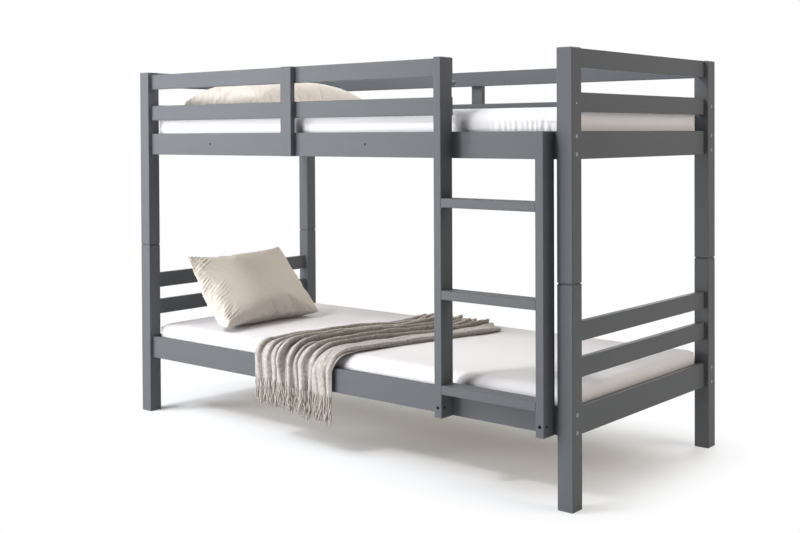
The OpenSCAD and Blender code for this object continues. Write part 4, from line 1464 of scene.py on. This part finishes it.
@dataclass
class Studio:
    """Camera, lamps and floor of the product shot."""

    camera_at: Triple = (2.8525, -3.41877, 1.14016)
    # The camera looks down by less than a degree and leans by a quarter of one.
    camera_turn: Triple = (89.158, 0.274, 40.201)
    lens: float = 51.652
    shift: tuple[float, float] = (0.00254, -0.14405)
    sky: float = 0.128
    lamps: tuple[Lamp, ...] = (
        Lamp("key", (-1.4, -3.7, 4.0), (0.0, 0.0, 0.6), 0.8, 106.0),
        Lamp("high_left", (-2.2, -2.6, 4.0), (-0.1, 0.0, 0.6), 2.5, 107.0),
        Lamp("left_front", (-3.2, -3.4, 1.6), (-0.2, 0.0, 0.7), 1.6, 97.0),
        Lamp("low_front", (-1.0, -3.5, 0.35), (0.0, 0.0, 0.3), 1.2, 70.0),
        Lamp("high_back", (0.0, 3.5, 3.0), (0.0, 0.0, 0.7), 2.5, 105.0),
        Lamp("over_ladder", (0.5, -0.3, 3.2), (0.5, 0.0, 0.0), 1.2, 27.0),
        Lamp("right_fill", (4.8, 0.8, 1.6), (0.9, 0.0, 0.8), 2.5, 30.0, WARM),
        Lamp("right_back", (3.3, 1.0, 2.6), (0.8, 0.0, 0.7), 2.0, 36.0, WARM),
    )
    # The floor area that keeps its shadow (middle, half size) and how far out it turns white.
    middle: Triple = (-0.10, 0.0, 0.0)
    footprint: Triple = (0.95, 0.32, 0.0)
    fade: tuple[float, float] = (0.0, 0.42)
    # The paper as the camera sees it: a shade cooler, against the warm bounce off the pine.
    paper: Colour = (0.80, 0.825, 0.86, 1.0)
    # The same paper as it lights the bed.
    bounce: Colour = (0.93, 0.93, 0.93, 1.0)
    glow: float = 0.06

    def build_camera(self) -> None:
        """Puts the camera where the photograph was taken from."""
        data = bpy.data.cameras.new("camera")
        data.sensor_width, data.lens = 36.0, self.lens
        data.shift_x, data.shift_y = self.shift
        camera = bpy.data.objects.new("camera", data)
        camera.location = self.camera_at
        camera.rotation_euler = [math.radians(turn) for turn in self.camera_turn]
        bpy.context.scene.collection.objects.link(camera)
        bpy.context.scene.camera = camera

    @staticmethod
    def add_seen(add: Adder, *kinds: str) -> bpy.types.Node:
        """Adds nodes that give 1 for some kinds of ray and 0 for the light that falls on the bed.

        Args:
            add: adds a node to the tree.
            *kinds: the second and any further kinds of ray, beside the camera's.

        Returns:
            The node that gives it.
        """
        path = add("LightPath").outputs
        seen = path["Is Camera Ray"]
        for kind in kinds:
            seen = add("Math", {0: seen, 1: path[kind]}, operation="MAXIMUM")
        return seen

    def build_world(self) -> None:
        """Even soft light, with a white backdrop for what the camera, gloss and glass see."""
        world = bpy.data.worlds.new("studio")
        bpy.context.scene.world = world
        world.use_nodes = True
        world.node_tree.nodes.clear()
        add = partial(add_node, world.node_tree)
        seen = self.add_seen(add, "Is Glossy Ray", "Is Transmission Ray")
        level = add("MapRange", {"Value": seen, 3: self.sky, 4: 1.0})
        sky = add("Background", {"Color": WHITE, "Strength": level})
        add("OutputWorld", {"Surface": sky})

    def build_floor(self) -> None:
        """A seamless white floor that keeps the bed's shadow and runs out into white."""
        shape = bmesh.new()
        bmesh.ops.create_grid(shape, x_segments=8, y_segments=8, size=14.0)
        bmesh.ops.translate(shape, vec=(0, 0, -0.6 * MM), verts=shape.verts)
        floor = to_object(shape, "studio_floor", smooth=False)
        # Seamless background paper: matt white with no texture at this distance.
        material, add = start_material("white_paper_backdrop")
        place = add("TexCoord").outputs["Object"]
        off = add("VectorMath", {0: place, 1: self.middle}, operation="SUBTRACT")
        size = add("VectorMath", {0: off}, operation="ABSOLUTE")
        past = add("VectorMath", {0: size, 1: self.footprint}, operation="SUBTRACT")
        clear = add("VectorMath", {0: past, 1: (0, 0, 0)}, operation="MAXIMUM")
        far = add("VectorMath", {0: clear}, operation="LENGTH").outputs["Value"]
        reach = {"Value": far, 1: self.fade[0], 2: self.fade[1]}
        edge = add("MapRange", reach, interpolation_type="SMOOTHSTEP")
        cool = add("BsdfDiffuse", {"Color": self.paper})
        glow = add("Emission", {"Color": WHITE, "Strength": self.glow})
        near = add("AddShader", {0: cool, 1: glow})
        white = add("Emission", {"Color": WHITE, "Strength": 1.0})
        shown = add("MixShader", {0: edge, 1: near, 2: white})
        paper = add("BsdfDiffuse", {"Color": self.bounce})
        seen = self.add_seen(add, "Is Glossy Ray")
        add("OutputMaterial", {"Surface": add("MixShader", {0: seen, 1: paper, 2: shown})})
        paint_piece(floor, material)

    def build(self) -> None:
        """Sets up the whole shot."""
        self.build_camera()
        for lamp in self.lamps:
            lamp.build()
        self.build_world()
        self.build_floor()
        bpy.context.scene.view_settings.view_transform = "Standard"


MATTRESSES = (Mattress("lower_mattress"), Mattress("upper_mattress", gathers=(0.68, 0.94)))
PILLOWS = (
    Pillow("lower_pillow", 0.516, LOWER_PILLOW_HEIGHT, 0.062, 0.105, lean_back, bend=0.045),
    Pillow(
        "upper_pillow", 0.650, 0.450, 0.092, 0.070, lie_flat, tuck_mm=10.0, tuck_span=(-0.35, 0.25)
    ),
)


def main() -> None:
    """Builds and dresses every sub-assembly, then the studio."""
    logging.basicConfig(level=logging.INFO, format="%(message)s")
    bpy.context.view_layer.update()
    TimberFrame().dress()

    jersey = SHEET_JERSEY.make()
    for mattress in MATTRESSES:
        mattress.dress(mattress.build(), jersey)

    cotton = PILLOW_COTTON.make()
    for pillow in PILLOWS:
        pillow.dress(pillow.build(), cotton)

    throw = Throw()
    cloth = throw.build_cloth()
    throw.dress(cloth, throw.build_fringe(cloth), THROW_WEAVE.make(), TwistedYarn().make())

    Studio().build()


if __name__ == "__main__":
    main()
